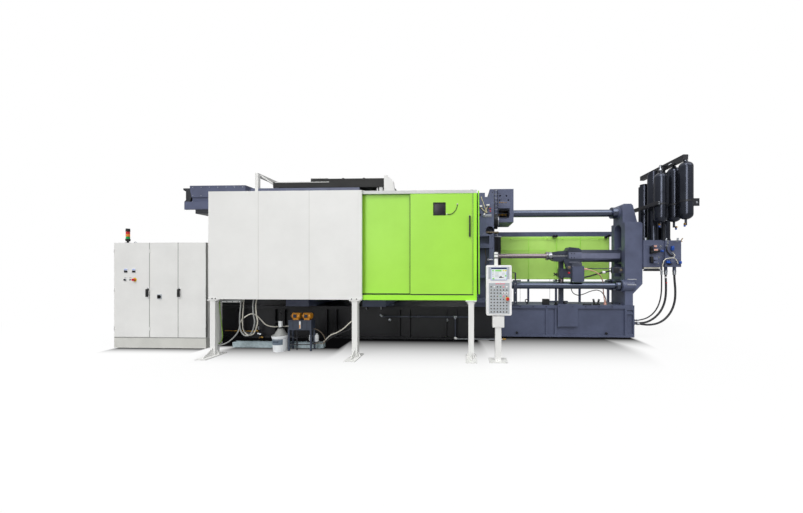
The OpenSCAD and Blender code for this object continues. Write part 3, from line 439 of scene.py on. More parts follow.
# %% Mix the small finishes
green_lens = coating("green_lamp_lens", "#1FAE55", "#189A49", 0.2, 30, 3, 0.05, coat=0.4)
amber_lens = coating("amber_lamp_lens", "#F08A1E", "#DE7C15", 0.2, 30, 3, 0.05, coat=0.4)
red_lens = coating("red_lamp_lens", "#E2222C", "#CB1B25", 0.2, 30, 3, 0.05, coat=0.4)
screen_blue = coating("screen_border", "#B9C4E6", "#AFBBDF", 0.25, 60, 3, 0.02)
screen_pale = coating("screen_page", "#E9EEF0", "#E2E8EB", 0.22, 60, 3, 0.02)
screen_dark = coating("screen_title_bar", "#27305A", "#222A50", 0.22, 60, 3, 0.02)
screen_green = coating("screen_green", "#8FE070", "#86D867", 0.22, 60, 3, 0.02)
screen_yellow = coating("screen_yellow", "#E3E845", "#DCE13C", 0.22, 60, 3, 0.02)
screen_grey = coating("screen_grey", "#B9BCC2", "#AEB1B8", 0.22, 60, 3, 0.02)
key_green = coating("green_key_cap", "#0C6B3C", "#0A5F35", 0.35, 20, 2, 0.08)
key_teal = coating("teal_key_cap", "#3FC79B", "#38BB91", 0.35, 20, 2, 0.08)
key_pink = coating("pink_key_cap", "#F07A8C", "#E66E80", 0.35, 20, 2, 0.08)
# Grey for labels and seams, and for painted shade in the cabinet's door gaps.
seam_grey = coating("grey_door_gasket", "#8E8F8C", "#838481", 0.6, 60, 3, 0.2)
# A lighter enamel, also laid on the injection barrel's front faces as painted light.
barrel_enamel = coating("light_enamel_on_cylinder", "#686D84", "#5D6278", 0.36, 160, 8, 0.25)
sheath_pink = coating("rose_hose_sleeve", "#D9A898", "#CC9A8A", 0.5, 30, 3, 0.1)
sheath_cream = coating("cream_wire_jacket", "#D8D0AC", "#CCC49E", 0.5, 30, 3, 0.1)
sheath_brown = coating("brown_wire_jacket", "#6E6150", "#615545", 0.55, 30, 3, 0.1)

print("finishes:", len(bpy.data.materials))

# %% [markdown]
# ## The hydraulic hoses
#
# Three rubber hoses carry oil from the valve block to the end of the bed.
# They are stiff, so they leave both fittings straight and make one wide
# bend. Each is a circle carried along its route. The route's points are the
# same as in the solid model, so collision and picture agree.

# %% Routes of the hoses
HOSE_ROUTES = {
    "hose_front": (
        -290, 14,
        [
            (5663, 1590), (5663, 1520), (5664, 1440), (5665, 1360), (5665, 1280), (5664, 1200),
            (5662, 1120), (5656, 1040), (5645, 960), (5628, 880), (5604, 800), (5570, 720), (5526, 646),
            (5472, 580), (5408, 524), (5338, 480), (5264, 450), (5188, 432), (5112, 420), (5061, 420),
        ],
    ),
    "hose_middle": (
        -240, 22,
        [
            (5790, 1570), (5790, 1490), (5792, 1400), (5795, 1310), (5797, 1220), (5797, 1130),
            (5794, 1040), (5786, 950), (5770, 862), (5745, 776), (5711, 694), (5667, 617), (5613, 547),
            (5549, 484), (5477, 431), (5399, 389), (5316, 362), (5230, 350), (5145, 345), (5061, 345),
        ],
    ),
    "hose_rear": (
        -300, 22,
        [
            (5943, 1570), (5943, 1490), (5946, 1400), (5952, 1310), (5960, 1220), (5965, 1130),
            (5966, 1040), (5962, 950), (5950, 860), (5928, 770), (5896, 684), (5854, 602), (5800, 526),
            (5735, 458), (5660, 402), (5576, 360), (5486, 334), (5395, 322), (5300, 322), (5215, 332),
            (5135, 345), (5061, 345),
        ],
    ),
}
DOOR_CABLE_ROUTE = (
    -1886.5, 6,
    [
        (820, 2612), (834, 2606), (850, 2604), (868, 2606), (886, 2611), (904, 2619), (922, 2630),
        (939, 2644), (955, 2661), (969, 2680), (981, 2701), (990, 2723), (997, 2746), (1001, 2768),
        (1002, 2788),
    ],
)


# %% A cord from its stations
def cord_piece(
    name, stations, radius, material, spacing=15, body="machine"
):
    """A cord is a circle carried along a smooth path."""
    path = smooth_path(stations, spacing)
    made = piece(name, material, swept(path, circle(radius, 12)), body=body, smooth_below=80)
    return made


# %% Sweep the hoses and the door cable
for node, (y, radius, stations) in HOSE_ROUTES.items():
    stations = [(x, y, z) for x, z in stations]
    hose = cord_piece(f"{node}_cover", stations, radius, hose_cover, 20)
    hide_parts(node)

y, radius, stations = DOOR_CABLE_ROUTE
stations = [(x, y, z) for x, z in stations]
door_cable = cord_piece(
    "door_cable_jacket", stations, radius, cable_black, 10, body="leading_door",
)
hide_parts("door_cable")
tell("hoses and door cable")

# %% [markdown]
# ## Softened edges on the solid parts
#
# No casting or folded sheet has a knife edge. Where an edge turns the light,
# the eye reads the thickness and the material. The solid parts arrive as
# loose triangles, so a copy is merged first, flat areas are joined to single
# faces, and a Bevel modifier rounds what is still sharp. The copy stands for
# the solid part, which stays underneath for collision. A part may wear more
# than one finish: rules then say which faces take which, by their places in
# metres.

# %% Choose a finish for each face
def finish_faces(mesh, rules):
    """Each face takes the last rule whose test is true for its middle point, and the first rule
    has no test."""
    middle = np.zeros(len(mesh.polygons) * 3)
    mesh.polygons.foreach_get("center", middle)
    middle = middle.reshape(-1, 3).T
    index = np.zeros(len(mesh.polygons), int)
    mesh.materials.clear()
    for number, (material, test) in enumerate(rules):
        mesh.materials.append(material)
        if test is not None:
            index[test(*middle)] = number
    mesh.polygons.foreach_set("material_index", index)
    mesh.update()


def painted(node, *rules):
    """Gives a solid part its finishes, face by face."""
    finish_faces(nodes[node].data, rules)


# %% Soften a solid part
def softened(node, width, *rules):
    """Merges a copy of a solid part, dissolves flat seams inside one finish and rounds edges
    sharper than 30 degrees by the given width."""
    mesh = nodes[node].data.copy()
    mesh.name = f"{node}_finish"
    finish_faces(mesh, rules)
    work = bmesh.new()
    work.from_mesh(mesh)
    bmesh.ops.remove_doubles(work, verts=work.verts, dist=2e-5)
    bmesh.ops.dissolve_limit(
        work, angle_limit=math.radians(0.5), verts=work.verts, edges=work.edges, delimit={"MATERIAL"}
    )
    work.to_mesh(mesh)
    work.free()
    mesh.polygons.foreach_set("use_smooth", np.ones(len(mesh.polygons), bool))
    mesh.set_sharp_from_angle(angle=math.radians(35))
    made = bpy.data.objects.new(f"{node}_finish", mesh)
    bpy.context.scene.collection.objects.link(made)
    bevel = made.modifiers.new("edge_radius", "BEVEL")
    bevel.width = width
    bevel.segments = 2
    bevel.limit_method = "ANGLE"
    bevel.angle_limit = math.radians(30)
    bevel.harden_normals = True
    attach(made, nodes[node]["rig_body"])
    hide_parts(node)
    return made


# %% Give each softened part its finish
for node, width, material in (
    ("shot_bed", 0.008, bed_enamel), ("clamp_bed", 0.008, bed_shade_enamel),
    ("rod_bracket", 0.014, casting_enamel), ("fixed_platen", 0.014, casting_enamel),
    ("moving_platen", 0.014, casting_enamel), ("rear_platen", 0.014, casting_enamel),
    ("leading_door", 0.004, green_powder), ("trailing_door", 0.004, green_powder),
    ("guard_panels", 0.004, white_powder), ("guard_posts", 0.004, white_powder),
    ("cabinet_door_middle", 0.003, cabinet_powder), ("cabinet_door_right", 0.003, cabinet_powder),
    ("panel_box", 0.012, white_plastic), ("panel_post", 0.004, white_powder),
    ("manifold_block", 0.008, casting_enamel), ("bottle_rack", 0.004, black_enamel),
    ("roof_cover", 0.006, roof_dark),
):
    softened(node, width, (material, None))

softened(
    "c_frame", 0.018, (casting_enamel, None),
    (dark_enamel, lambda x, y, z: (x < 4.823) & (y > -0.25) & (z > 1.49) & (z < 1.66)),
)
softened(
    "door_surround", 0.005, (sill_powder, None),
    (black_enamel, lambda x, y, z: (y > -1.7885) & (x > 1.333) & (z > 1.14)),
)
softened(
    "rear_guard_panels", 0.004, (white_powder, None),
    (black_enamel, lambda x, y, z: (y < 1.8125) & (z < 1.056)),
)
softened(
    "hydraulic_housing", 0.01, (housing_enamel, None),
    (black_enamel, lambda x, y, z: (x < -4.931) & (y < -0.849) & (z > 3.1) | (z < 2.9285)),
)
# The barrel's front faces take the lighter enamel as painted light: the lit lower half, against the
# shaded top.
softened(
    "shot_cylinder", 0.008, (dark_enamel, None),
    (barrel_enamel, lambda x, y, z: (x > 3.9) & (x < 4.79) & (y < -0.09) & (z > 1.77) & (z < 2.0)),
    (bed_enamel, lambda x, y, z: (x > 3.6) & (x < 3.9) & (y < -0.25) & (z < 1.69)),
)

# %% Give the other solid parts their finish
for node, material in (
    ("levelling_pads", black_steel), ("tie_bars", tie_bar_steel), ("tie_bar_nuts", black_steel),
    ("clamp_cylinder", dark_enamel), ("ejector_plate", bright_steel), ("crosshead", link_enamel),
    ("upper_rear_links", link_enamel), ("lower_rear_links", link_enamel),
    ("upper_front_links", link_enamel), ("lower_front_links", link_enamel),
    ("upper_short_links", link_enamel), ("lower_short_links", link_enamel), ("guide_rods", rod_steel),
    ("shot_sleeve", bright_steel), ("piston_accumulators", bottle_enamel),
    ("nitrogen_bottles", bottle_enamel), ("door_window", seam_black), ("door_handle", black_plastic),
    ("panel_face", keypad_grey), ("cabinet_handle_left", black_plastic),
    ("cabinet_handle_right", black_plastic), ("cabinet_main_switch", black_plastic),
    ("cabinet_stop_button", red_plastic), ("panel_stop_button", red_plastic),
    ("signal_tower", black_plastic), ("floor_channel", channel_steel),
):
    painted(node, (material, None))

painted("plunger_rod", (plunger_steel, None), (bright_steel, lambda x, y, z: x > 3.1))
painted(
    "shot_guard", (rear_green_powder, None),
    (casting_enamel, lambda x, y, z: (z > 2.4935) | (y > 1.0295) | (z < 1.3)),
    (black_enamel, lambda x, y, z: (x < 2.135) & (z < 2.4935)),
)
painted(
    "guard_frame", (grey_powder, None),
    (
        casting_enamel,
        lambda x, y, z: (abs(y) > 1.847) & (abs(y) < 1.879)
        & (x > -2.86) & (x < -0.79) & (z > 3.049) & (z < 3.116),
    ),
    (roof_dark, lambda x, y, z: (z > 3.129) & (z < 3.26) & (x > -2.45) & (x < -0.343)),
    (white_powder, lambda x, y, z: (x < -2.7) & (z > 3.05) & (x > -2.77)),
    (white_powder, lambda x, y, z: (x > -0.343) & (x < -0.15) & (z > 3.04) & (y < -1.79)),
)
painted(
    "cabinet_body", (cabinet_powder, None), (plinth_powder, lambda x, y, z: z < 0.218),
    (plate_cream, lambda x, y, z: (y > -1.111) & (y < -1.069) & (z > 0.3) & (z < 2.06)),
)
painted(
    "cabinet_door_left", (cabinet_powder, None),
    (white_plastic, lambda x, y, z: (y < -1.4505) & (z > 1.5) & (x > -6.0)),
    (black_plastic, lambda x, y, z: (y < -1.4505) & (z < 1.5) & (x > -6.0)),
    (yellow_plastic, lambda x, y, z: (y < -1.4505) & (z < 1.5) & (x > -5.645)),
)
painted(
    "lubrication_unit", (tank_blue_grey, None), (motor_orange, lambda x, y, z: z > 0.6005),
    (motor_blue, lambda x, y, z: (y < -1.5345) & (z > 0.65)),
)
painted(
    "oil_pail", (pail_white, None), (cable_grey, lambda x, y, z: (z > 0.3065) & (z < 0.4465)),
    (black_plastic, lambda x, y, z: z > 0.586),
)
painted(
    "water_pipes", (dark_enamel, None), (zinc_steel, lambda x, y, z: z < 0.075),
    (brass, lambda x, y, z: x > 1.961),
)
print("solid parts dressed:", len(nodes))

# %% [markdown]
# ## Small fittings from a few shapes
#
# Screws, washers, frames and cables come up again and again. Each is one
# short function that builds on the shapes above, so a row of forty bolts
# takes one line. A hexagon head is a turned profile with six sides, and a
# dome is a turned quarter circle.

# %% Places, strips, bolts, domes, rings and frames
def grid(xs, ys, zs):
    """Every place that takes one x, one y and one z out of the values given."""
    xs, ys, zs = (np.atleast_1d(values) for values in (xs, ys, zs))
    return [(x, y, z) for x in xs for y in ys for z in zs]


def strips(places, half, low, high, edge=1):
    """Upright strips at several x: each is a box from x less half to x plus half, between a low
    and a high (y, z)."""
    return [boxed((x - half, *low), (x + half, *high), edge) for x in places]


def bolt_heads(places, radius, height, axis="y", outward=-1):
    """Hexagon heads on washers: a thin disc, then six sides with a chamfered top, standing
    outward along the axis."""
    steps = [(1.25, 0.0), (1.25, 0.15), (1.0, 0.15), (1.0, 0.85), (0.85, 1.0)]
    washer = turned([(r * radius, outward * h * height) for r, h in steps[:2]], axis, 14)
    head = turned([(r * radius, outward * h * height) for r, h in steps[2:]], axis, 6)
    return repeated(joined(washer, head), places)


def domes(places, radius, height, axis="y", outward=-1, sides=14):
    """Domed caps: radius times the cosine of a rising angle, height times its sine."""
    rise = np.linspace(0, math.radians(82), 5)
    profile = [(radius * math.cos(a), outward * height * math.sin(a)) for a in rise]
    return repeated(turned(profile, axis, sides), places)


def tube_ring(place, radius, thickness, axis="y", sides=20):
    """A ring: a circle of the given thickness carried round a larger circle."""
    angle = np.linspace(0, 2 * math.pi, sides, endpoint=False)
    turn = np.linspace(0, 2 * math.pi, 8, endpoint=False)
    far = radius + thickness * np.cos(turn)[None, :]
    points = np.zeros((sides, 8, 3))
    across, up, along = AXES[axis]
    points[..., across] = far * np.cos(angle)[:, None]
    points[..., up] = far * np.sin(angle)[:, None]
    points[..., along] = thickness * np.sin(turn)[None, :]
    i = np.arange(sides)[:, None] * 8
    n = ((np.arange(sides) + 1) % sides)[:, None] * 8
    j = np.arange(8)[None, :]
    k = (j + 1) % 8
    faces = np.stack([i + j, i + k, n + k, n + j], axis=-1).reshape(-1, 4).tolist()
    return points.reshape(-1, 3) + np.array(place, float), faces


def border(low, high, width, y_front, y_back, edge=2):
    """Four rounded strips round a rectangle given by its low and high (x, z) corners."""
    (x0, z0), (x1, z1) = low, high
    return joined(
        boxed((x0 - width, y_front, z1), (x1 + width, y_back, z1 + width), edge),
        boxed((x0 - width, y_front, z0 - width), (x1 + width, y_back, z0), edge),
        boxed((x0 - width, y_front, z0), (x0, y_back, z1), edge),
        boxed((x1, y_front, z0), (x1 + width, y_back, z1), edge),
    )


def pipe_run(corners, radius, bend=30, sides=12):
    """A bent pipe: straight runs joined by arcs, where each corner is replaced by points on the
    curve that mixes the two runs."""
    corners = np.array(corners, float)
    path = [corners[0]]
    for before, here, after in zip(corners[:-2], corners[1:-1], corners[2:]):
        back, ahead = before - here, after - here
        reach = min(bend, 0.45 * np.linalg.norm(back), 0.45 * np.linalg.norm(ahead))
        start = here + back / np.linalg.norm(back) * reach
        stop = here + ahead / np.linalg.norm(ahead) * reach
        for t in np.linspace(0, 1, 6):
            path.append((1 - t) ** 2 * start + 2 * t * (1 - t) * here + t**2 * stop)
    path.append(corners[-1])
    path = np.array(path)
    spread = np.ptp(path, axis=0)
    across = [0.0, 0.0, 0.0]
    across[int(np.argmin(spread))] = 1.0
    return swept(path, circle(radius, sides), across)


# %% [markdown]
# ## The cabinet
#
# Each door gap shows as a grey line, painted shade in the gap. Meters
# are white frames with a display above a dark scale. The handles sit on
# plates, and the signal tower is a stack of ribbed lenses.

# %% Signal tower
TOWER = (-5886, -1330, 0)


def lens(low, high, radius=32):
    """A ribbed lens: its radius swells a little between its two seams."""
    height = np.linspace(low + 2, high - 2, 9)
    swell = radius + 0.8 * np.cos(np.arange(9) * math.pi)
    profile = [(radius - 6, low)] + list(zip(swell, height)) + [(radius - 6, high)]
    return turned(profile, place=TOWER)


for colour, low, high, material in (
    ("red", 2338, 2386, red_lens), ("amber", 2284, 2338, amber_lens), ("green", 2236, 2284, green_lens),
):
    piece(f"tower_{colour}_lens", material, lens(low, high))
piece(
    "tower_cap", black_plastic,
    turned([(33, 2386), (35, 2390), (35, 2425), (28, 2436), (12, 2441)], place=TOWER),
)
piece("tower_base", black_plastic, turned([(26, 2196), (38, 2200), (38, 2236), (34, 2237)], place=TOWER))
piece("tower_foot", black_plastic, turned([(36, 2145), (36, 2152), (18, 2156), (16, 2196)], place=TOWER))
tell("signal tower")

# %% Cabinet seams, meters and plates
DOOR_FRONT = -1450
DOOR_GAPS = (-5284, -4682)
# The grey strips in the door gaps, at the plinth and along the right edge are painted shade in the gaps.
seams = strips(DOOR_GAPS, 6, (DOOR_FRONT - 1.5, 222), (-1440, 2144))
seams.append(boxed((-6036, DOOR_FRONT - 1, 206), (-4102, -1440, 222.5), 2))
seams.append(boxed((-4103.5, DOOR_FRONT - 1, 222), (-4098.5, -1410, 2144), 1))
piece("cabinet_gaskets", seam_grey, *seams)

left_door_piece = riding("cabinet_door_left")
METERS = (-5780, -5608)
left_door_piece("meter_scales", black_plastic, *strips(METERS, 36, (-1460.5, 1538), (-1457, 1579.5)))
left_door_piece("meter_displays", screen_blue, *strips(METERS, 34, (-1460, 1583), (-1457, 1617)))
labels = strips((-5799, -5690, -5597), 22, (-1451.5, 1424), (-1449, 1434), 0.5)
left_door_piece("button_labels", seam_grey, *labels)
left_door_piece(
    "button_ring", zinc_steel,
    turned([(24, -1449.5), (24, -1455), (19, -1458)], "y", 20, (-5799, 0, 1390)),
)
for side, x, body in (("left", -5312, "cabinet_door_left"), ("right", -4652, "cabinet_door_right")):
    piece(
        f"handle_plate_{side}", white_plastic, boxed((x - 19, -1454.5, 1020), (x + 19, -1449, 1237), 3),
        body=body,
    )
    piece(
        f"handle_lock_{side}", zinc_steel,
        turned([(10, -1453), (10, -1459), (6, -1460)], "y", 16, (x, 0, 1226)), body=body,
    )
piece(
    "switch_plate", keypad_grey, boxed((-5122, -1454.5, 998), (-5024, -1449, 1098), 4),
    body="cabinet_door_middle",
)
tell("cabinet seams, meters and plates")

# %% Cabinet sides, back and roof
slat = boxed((-6043.5, -1380, 0), (-6038, -1120, 14), 2)
piece(
    "side_louvres", plinth_powder,
    repeated(slat, grid(0, 0, np.arange(360, 620, 32)) + grid(0, 0, np.arange(1760, 1950, 32))),
)
back_slat = boxed((-140, -1051.5, 0), (140, -1046, 14), 2)
piece(
    "back_louvres", plinth_powder,
    repeated(back_slat, grid((-5660, -4980, -4390), 0, np.arange(1720, 1950, 32))),
)
back_seams = strips(DOOR_GAPS, 4, (-1051.2, 230), (-1045, 2120))
piece("back_panel_seams", seam_grey, *back_seams)
corner_screws = grid((-6010, -5310, -5260, -4710, -4655, -4130), -1050.5, (270, 900, 1500, 2090))
piece("back_panel_screws", zinc_steel, domes(corner_screws, 8, 4, "y", 1, 8))
EYES = (-5980, -4160)
piece("lifting_eyes", zinc_steel, *[tube_ring((x, -1110, 2172), 22, 6) for x in EYES])
piece(
    "lifting_eye_collars", zinc_steel,
    repeated(turned([(18, 2145), (18, 2152), (10, 2154)], "z", 16), grid(EYES, -1110, 0)),
)
tell("cabinet sides, back and roof")

# %% [markdown]
# ## The operator panel
#
# The screen shows a plain page: a dark title bar, a green bar, a few grey
# rows and coloured dots. Below it lies a field of round keys, nine rows of
# six. Their colours follow a small table of exceptions, and every other key
# is dark grey.

# %% Screen
panel_piece = riding("panel_head")
PANEL_FRONT = -2086
SCREEN_LEFT = 1591
SCREEN_TOP = 1640


def on_screen(x0, z0, x1, z1, proud):
    """A thin tile on the screen, by its corners' distances right of and below the screen's
    upper left corner."""
    return boxed(
        (SCREEN_LEFT + x0, PANEL_FRONT - proud, SCREEN_TOP - z1),
        (SCREEN_LEFT + x1, PANEL_FRONT + 1, SCREEN_TOP - z0), 0.8, 1,
    )


panel_piece("screen_border", screen_blue, on_screen(-4, -4, 281, 219, 2))
panel_piece("screen_page", screen_pale, on_screen(10, 28, 267, 208, 3))
panel_piece("screen_title", screen_dark, on_screen(3, 1, 274, 26, 4))
panel_piece(
    "screen_green_marks", screen_green, on_screen(74, 40, 184, 66, 4), on_screen(20, 44, 50, 64, 4),
    on_screen(242, 128, 270, 156, 4), on_screen(26, 180, 60, 206, 4),
)
panel_piece(
    "screen_yellow_marks", screen_yellow, on_screen(204, 40, 228, 62, 4), on_screen(240, 38, 270, 64, 4),
)
rows = [on_screen(74, z, 134, z + 6, 4) for z in (88, 110, 132, 154)]
rows += [on_screen(190, z, 236, z + 6, 4) for z in (92, 112)]
rows += [on_screen(22, z, 46, z + 10, 4) for z in (88, 116, 144)]
panel_piece("screen_rows", screen_grey, *rows)
panel_piece(
    "screen_machine_sketch", key_dark, on_screen(140, 160, 182, 178, 4), on_screen(160, 148, 186, 162, 4),
)
panel_piece("screen_machine_base", sheath_brown, on_screen(178, 164, 222, 176, 4))
panel_piece("panel_front_edge", white_plastic, border((1547, 840), (1912, 1650), 12, -2086.5, -2078, 3))
tell("screen")

# %% Keypad
KEY_COLUMNS = 1595 + 53.8 * np.arange(6)
KEY_ROWS = 1306 - 54.3 * np.arange(9)
KEY_COLOURS = {
    (0, 1): white_plastic, (0, 3): key_green, (0, 4): key_pink, (0, 5): white_plastic,
    (2, 4): black_plastic, (2, 5): black_plastic, (3, 2): sheath_brown, (3, 3): key_teal,
    (3, 4): key_pink,
}
key_cap = turned([(12.5, 0), (12.5, -4), (10, -6.5), (4, -7)], "y", 12)
key_groups = {}
for row, z in enumerate(KEY_ROWS):
    for column, x in enumerate(KEY_COLUMNS):
        if (row, column) != (4, 5):
            colour = KEY_COLOURS.get((row, column), key_dark)
            key_groups.setdefault(colour.name, (colour, []))[1].append((x, PANEL_FRONT, z))
for number, (colour, places) in enumerate(key_groups.values()):
    panel_piece(f"keys_{number}", colour, repeated(key_cap, places))
rims = [(x, PANEL_FRONT, z) for z in KEY_ROWS for x in KEY_COLUMNS]
rim = turned([(16.5, 0), (16.5, -1.5), (13.5, -2)], "y", 12)
panel_piece("key_rims", plinth_powder, repeated(rim, rims))
selector_rim = turned([(24, 0), (24, -3), (18, -4)], "y", 16)
panel_piece(
    "selector_rims", white_plastic,
    repeated(selector_rim, grid(KEY_COLUMNS[4:], PANEL_FRONT - 1, KEY_ROWS[2])),
)
dashes = [
    boxed((x, PANEL_FRONT - 2, 1352), (x + 26, PANEL_FRONT + 1, 1366), 0.8, 1)
    for x in np.arange(1672, 1810, 34)
]
panel_piece("keypad_marks", key_pink, *dashes)
panel_piece(
    "stop_collar", yellow_plastic,
    turned([(33, -1), (33, -6), (27, -8)], "y", 24, (1877, PANEL_FRONT, 1098)),
)
tell("keypad")

# %% Stem, back and sides of the panel
for number, (low, high) in enumerate(((1798, 1822), (1866, 1876))):
    panel_piece(
        f"stem_ring_{number}", black_plastic,
        turned([(34, low), (36, low + 2), (36, high - 2), (34, high)], "z", 24, (1687, -2020, 0)),
    )
back_screws = grid((1545, 1918), -1950, (850, 1250, 1650))
panel_piece("panel_back_screws", zinc_steel, domes(back_screws, 8, 4, "y", 1, 10))
panel_piece("panel_back_seam", seam_grey, border((1560, 870), (1902, 1630), 6, -1951, -1945, 1))
piece("post_collar_gap", seam_black, boxed((1655, -2022, 864), (1790, -1948, 872), 2))
tell("stem, back and sides of the panel")

# %% [markdown]
# ## The guards, the door and the roof
#
# Sheet guards hang on a frame. What shows of that work are seams, screws, a
# rubber gasket round the window and the frames under the roof.

# %% Door fittings
door_piece = riding("leading_door")
tinted_glass = coating("dark_tinted_window_glass", "#17111F", "#120D18", 0.35, 60, 3, 0.02)
door_piece("window_gasket", seam_black, border((572, 2600), (778, 2815), 12, -1883.5, -1874, 3))
door_piece("window_inner_frame", black_plastic, border((584, 2612), (766, 2803), 5, -1875.5, -1870, 2))
door_piece("window_pane", tinted_glass, boxed((580, -1874.5, 2608), (770, -1871.5, 2807), 1))
handle_ends = grid(1227, -1902, (2216, 2564))
door_piece(
    "handle_end_caps", black_plastic,
    repeated(turned([(4, -16), (15, -12), (15, 12), (4, 16)], "z", 16), handle_ends),
)
door_piece("handle_feet", zinc_steel, bolt_heads(grid(1227, -1880, (2196, 2584)), 7, 6))
door_piece(
    "door_cable_glands", cable_white, turned([(12, 0), (12, -10), (8, -14)], "y", 12, (812, -1878, 2612)),
    turned([(14, 0), (14, -12), (9, -16)], "y", 12, (1002, -1878, 2792)),
)
tell("door fittings")

# %% Door edges, gap shade and rollers
edge_strip = boxed((1270, -1882.5, 1150), (1276, -1878, 2980), 1)
door_piece("leading_door_fold", dark_enamel, edge_strip)
door_piece("door_top_line", sill_powder, boxed((150, -1882, 2979.5), (1286, -1878, 2984), 1))
door_piece("door_gap_shadow", seam_black, boxed((128, -1862, 1145), (141.5, -1842, 2955), 2))
# The black strips along the foot of both doors are painted shade in the gap above the sill.
door_piece("leading_door_sweep", seam_black, boxed((146, -1883, 1140.5), (1288, -1879, 1158), 1))
piece(
    "trailing_door_sweep", seam_black, boxed((-770, -1833, 1140.5), (120, -1829, 1164), 1),
    body="trailing_door",
)
rollers = grid((300, 1130), -1858, 2994)
door_piece(
    "door_rollers", black_steel,
    repeated(turned([(10, -12), (18, -10), (18, 10), (10, 12)], "y", 18), rollers),
)
rivets = grid((165, 1255), -1880.5, np.arange(1250, 2950, 280))
door_piece("leading_door_rivets", green_powder, domes(rivets, 5, 2, "y", -1, 8))
tell("door edges, sweeps and rollers")

# %% Guard panel seams and screws
GUARD_FRONT = -1935
SEAM_PLACES = (-2664.5, -1710.5)
guard_seams = strips(SEAM_PLACES, 4, (GUARD_FRONT - 0.5, 1058), (GUARD_FRONT + 20, 3048))
guard_seams += strips(SEAM_PLACES, 4, (-GUARD_FRONT - 20, 1058), (-GUARD_FRONT + 0.5, 3048))
piece("guard_seams", plinth_powder, *guard_seams)
rear_screws = grid(np.arange(-3580, -760, 235.5), -GUARD_FRONT, (1090, 3020))
piece("rear_guard_screws", zinc_steel, domes(rear_screws, 8, 4, "y", 1, 8))
end_screws = grid(-3612, np.arange(-1850, 1900, 370), (1090, 3020))
piece("end_guard_screws", zinc_steel, domes(end_screws, 8, 4, "x", -1, 8))
rear_handles = [
    pipe_run([(x, 1880, 1900), (x, 1930, 1900), (x, 1930, 2200), (x, 1880, 2200)], 9, 20)
    for x in (240, 370)
]
piece("rear_door_handles", black_plastic, *rear_handles)
rear_hinges = grid((-700, 1320), 1886, (1250, 2000, 2750))
piece(
    "rear_door_hinges", zinc_steel,
    repeated(turned([(6, -50), (11, -48), (11, 48), (6, 50)], "z", 12), rear_hinges),
)
tell("guard panel seams and screws")

# %% Posts
POST_BOLTS = [(-3535, 1068), (-3475, 1068), (-923, 1066), (-831, 1066)]
piece(
    "guard_corner_plates", white_powder, boxed((-3607, -1938.5, 1046), (-3400, -1930, 1092), 2),
    boxed((-965, -1938.5, 1046), (-740, -1930, 1090), 2),
)
piece("guard_corner_bolts", black_steel, bolt_heads([(x, -1938.5, z) for x, z in POST_BOLTS], 9, 7))
tell("posts")

# %% Roof frames
roof_piece = riding("roof_cover")
UNDERSIDE = 3253.5
cross = [boxed((x, -1690, UNDERSIDE - 30), (x + 35, 1690, UNDERSIDE), 3) for x in (-1600, -1000, -620)]
roof_piece("roof_cover_ribs", zinc_steel, *cross)
front_lip = boxed((-1805, -1706, 3262), (-355, -1696, 3275), 3)
roof_piece("roof_cover_lip", black_steel, front_lip)
roof_piece("roof_cover_nose", white_powder, boxed((-1806, -1704, 3336), (-1480, -1400, 3348.5), 3))
roof_bolts = grid(np.arange(-1740, -380, 270), (-1620, 1620), 3346)
roof_piece("roof_cover_bolts", zinc_steel, bolt_heads(roof_bolts, 11, 8, "z", 1))
roof_piece(
    "roof_grip", black_steel,
    *[
        pipe_run([(x, -180, 3345), (x, -180, 3385), (x, 180, 3385), (x, 180, 3345)], 10, 20)
        for x in (-1660, -500)
    ],
)
piece(
    "roof_lamp_stem", white_plastic,
    turned([(14, 3040), (14, 3155), (10, 3160)], "z", 14, (-486, -1800, 0)),
    turned([(26, 3045), (26, 3052), (16, 3056)], "z", 14, (-486, -1800, 0)),
)
deck_ribs = [boxed((x, -1720, 3120), (x + 30, 1720, 3138), 3) for x in np.arange(-2300, -500, 360)]
piece("roof_deck_ribs", dark_enamel, *deck_ribs)
clutter = [
    boxed((-3665, -720, 3052), (-3560, -600, 3105), 10),
    boxed((-3520, -740, 3052), (-3400, -620, 3100), 10),
    boxed((-3340, -700, 3052), (-3280, -640, 3120), 8),
    boxed((-3200, -720, 3052), (-3020, -600, 3090), 10),
]
piece("guard_top_valves", link_enamel, *clutter)
tell("roof frames")

# %% Hydraulic housing
HOUSING_FRONT = -900
seam_lines = [
    boxed((-4965, HOUSING_FRONT - 1, 3440), (-3705, HOUSING_FRONT + 10, 3444), 1),
    boxed((-4300, HOUSING_FRONT - 1, 3210), (-4296, HOUSING_FRONT + 10, 3440), 1),
    boxed((-4850, HOUSING_FRONT - 1, 2940), (-3705, HOUSING_FRONT + 10, 2944), 1),
]
piece("housing_seams", dark_enamel, *seam_lines)
housing_bolts = grid(np.arange(-4900, -3700, 190), HOUSING_FRONT, (3232, 3418))
piece("housing_bolts", zinc_steel, bolt_heads(housing_bolts, 8, 6))
piece(
    "housing_filler", black_plastic,
    turned(
        [(60, 3455), (60, 3475), (48, 3480), (48, 3510), (40, 3518), (10, 3520)], "z", 24,
        (-4600, 300, 0),
    ),
    turned([(40, 3455), (40, 3470), (20, 3472)], "z", 20, (-4200, 350, 0)),
)
tell("hydraulic housing")
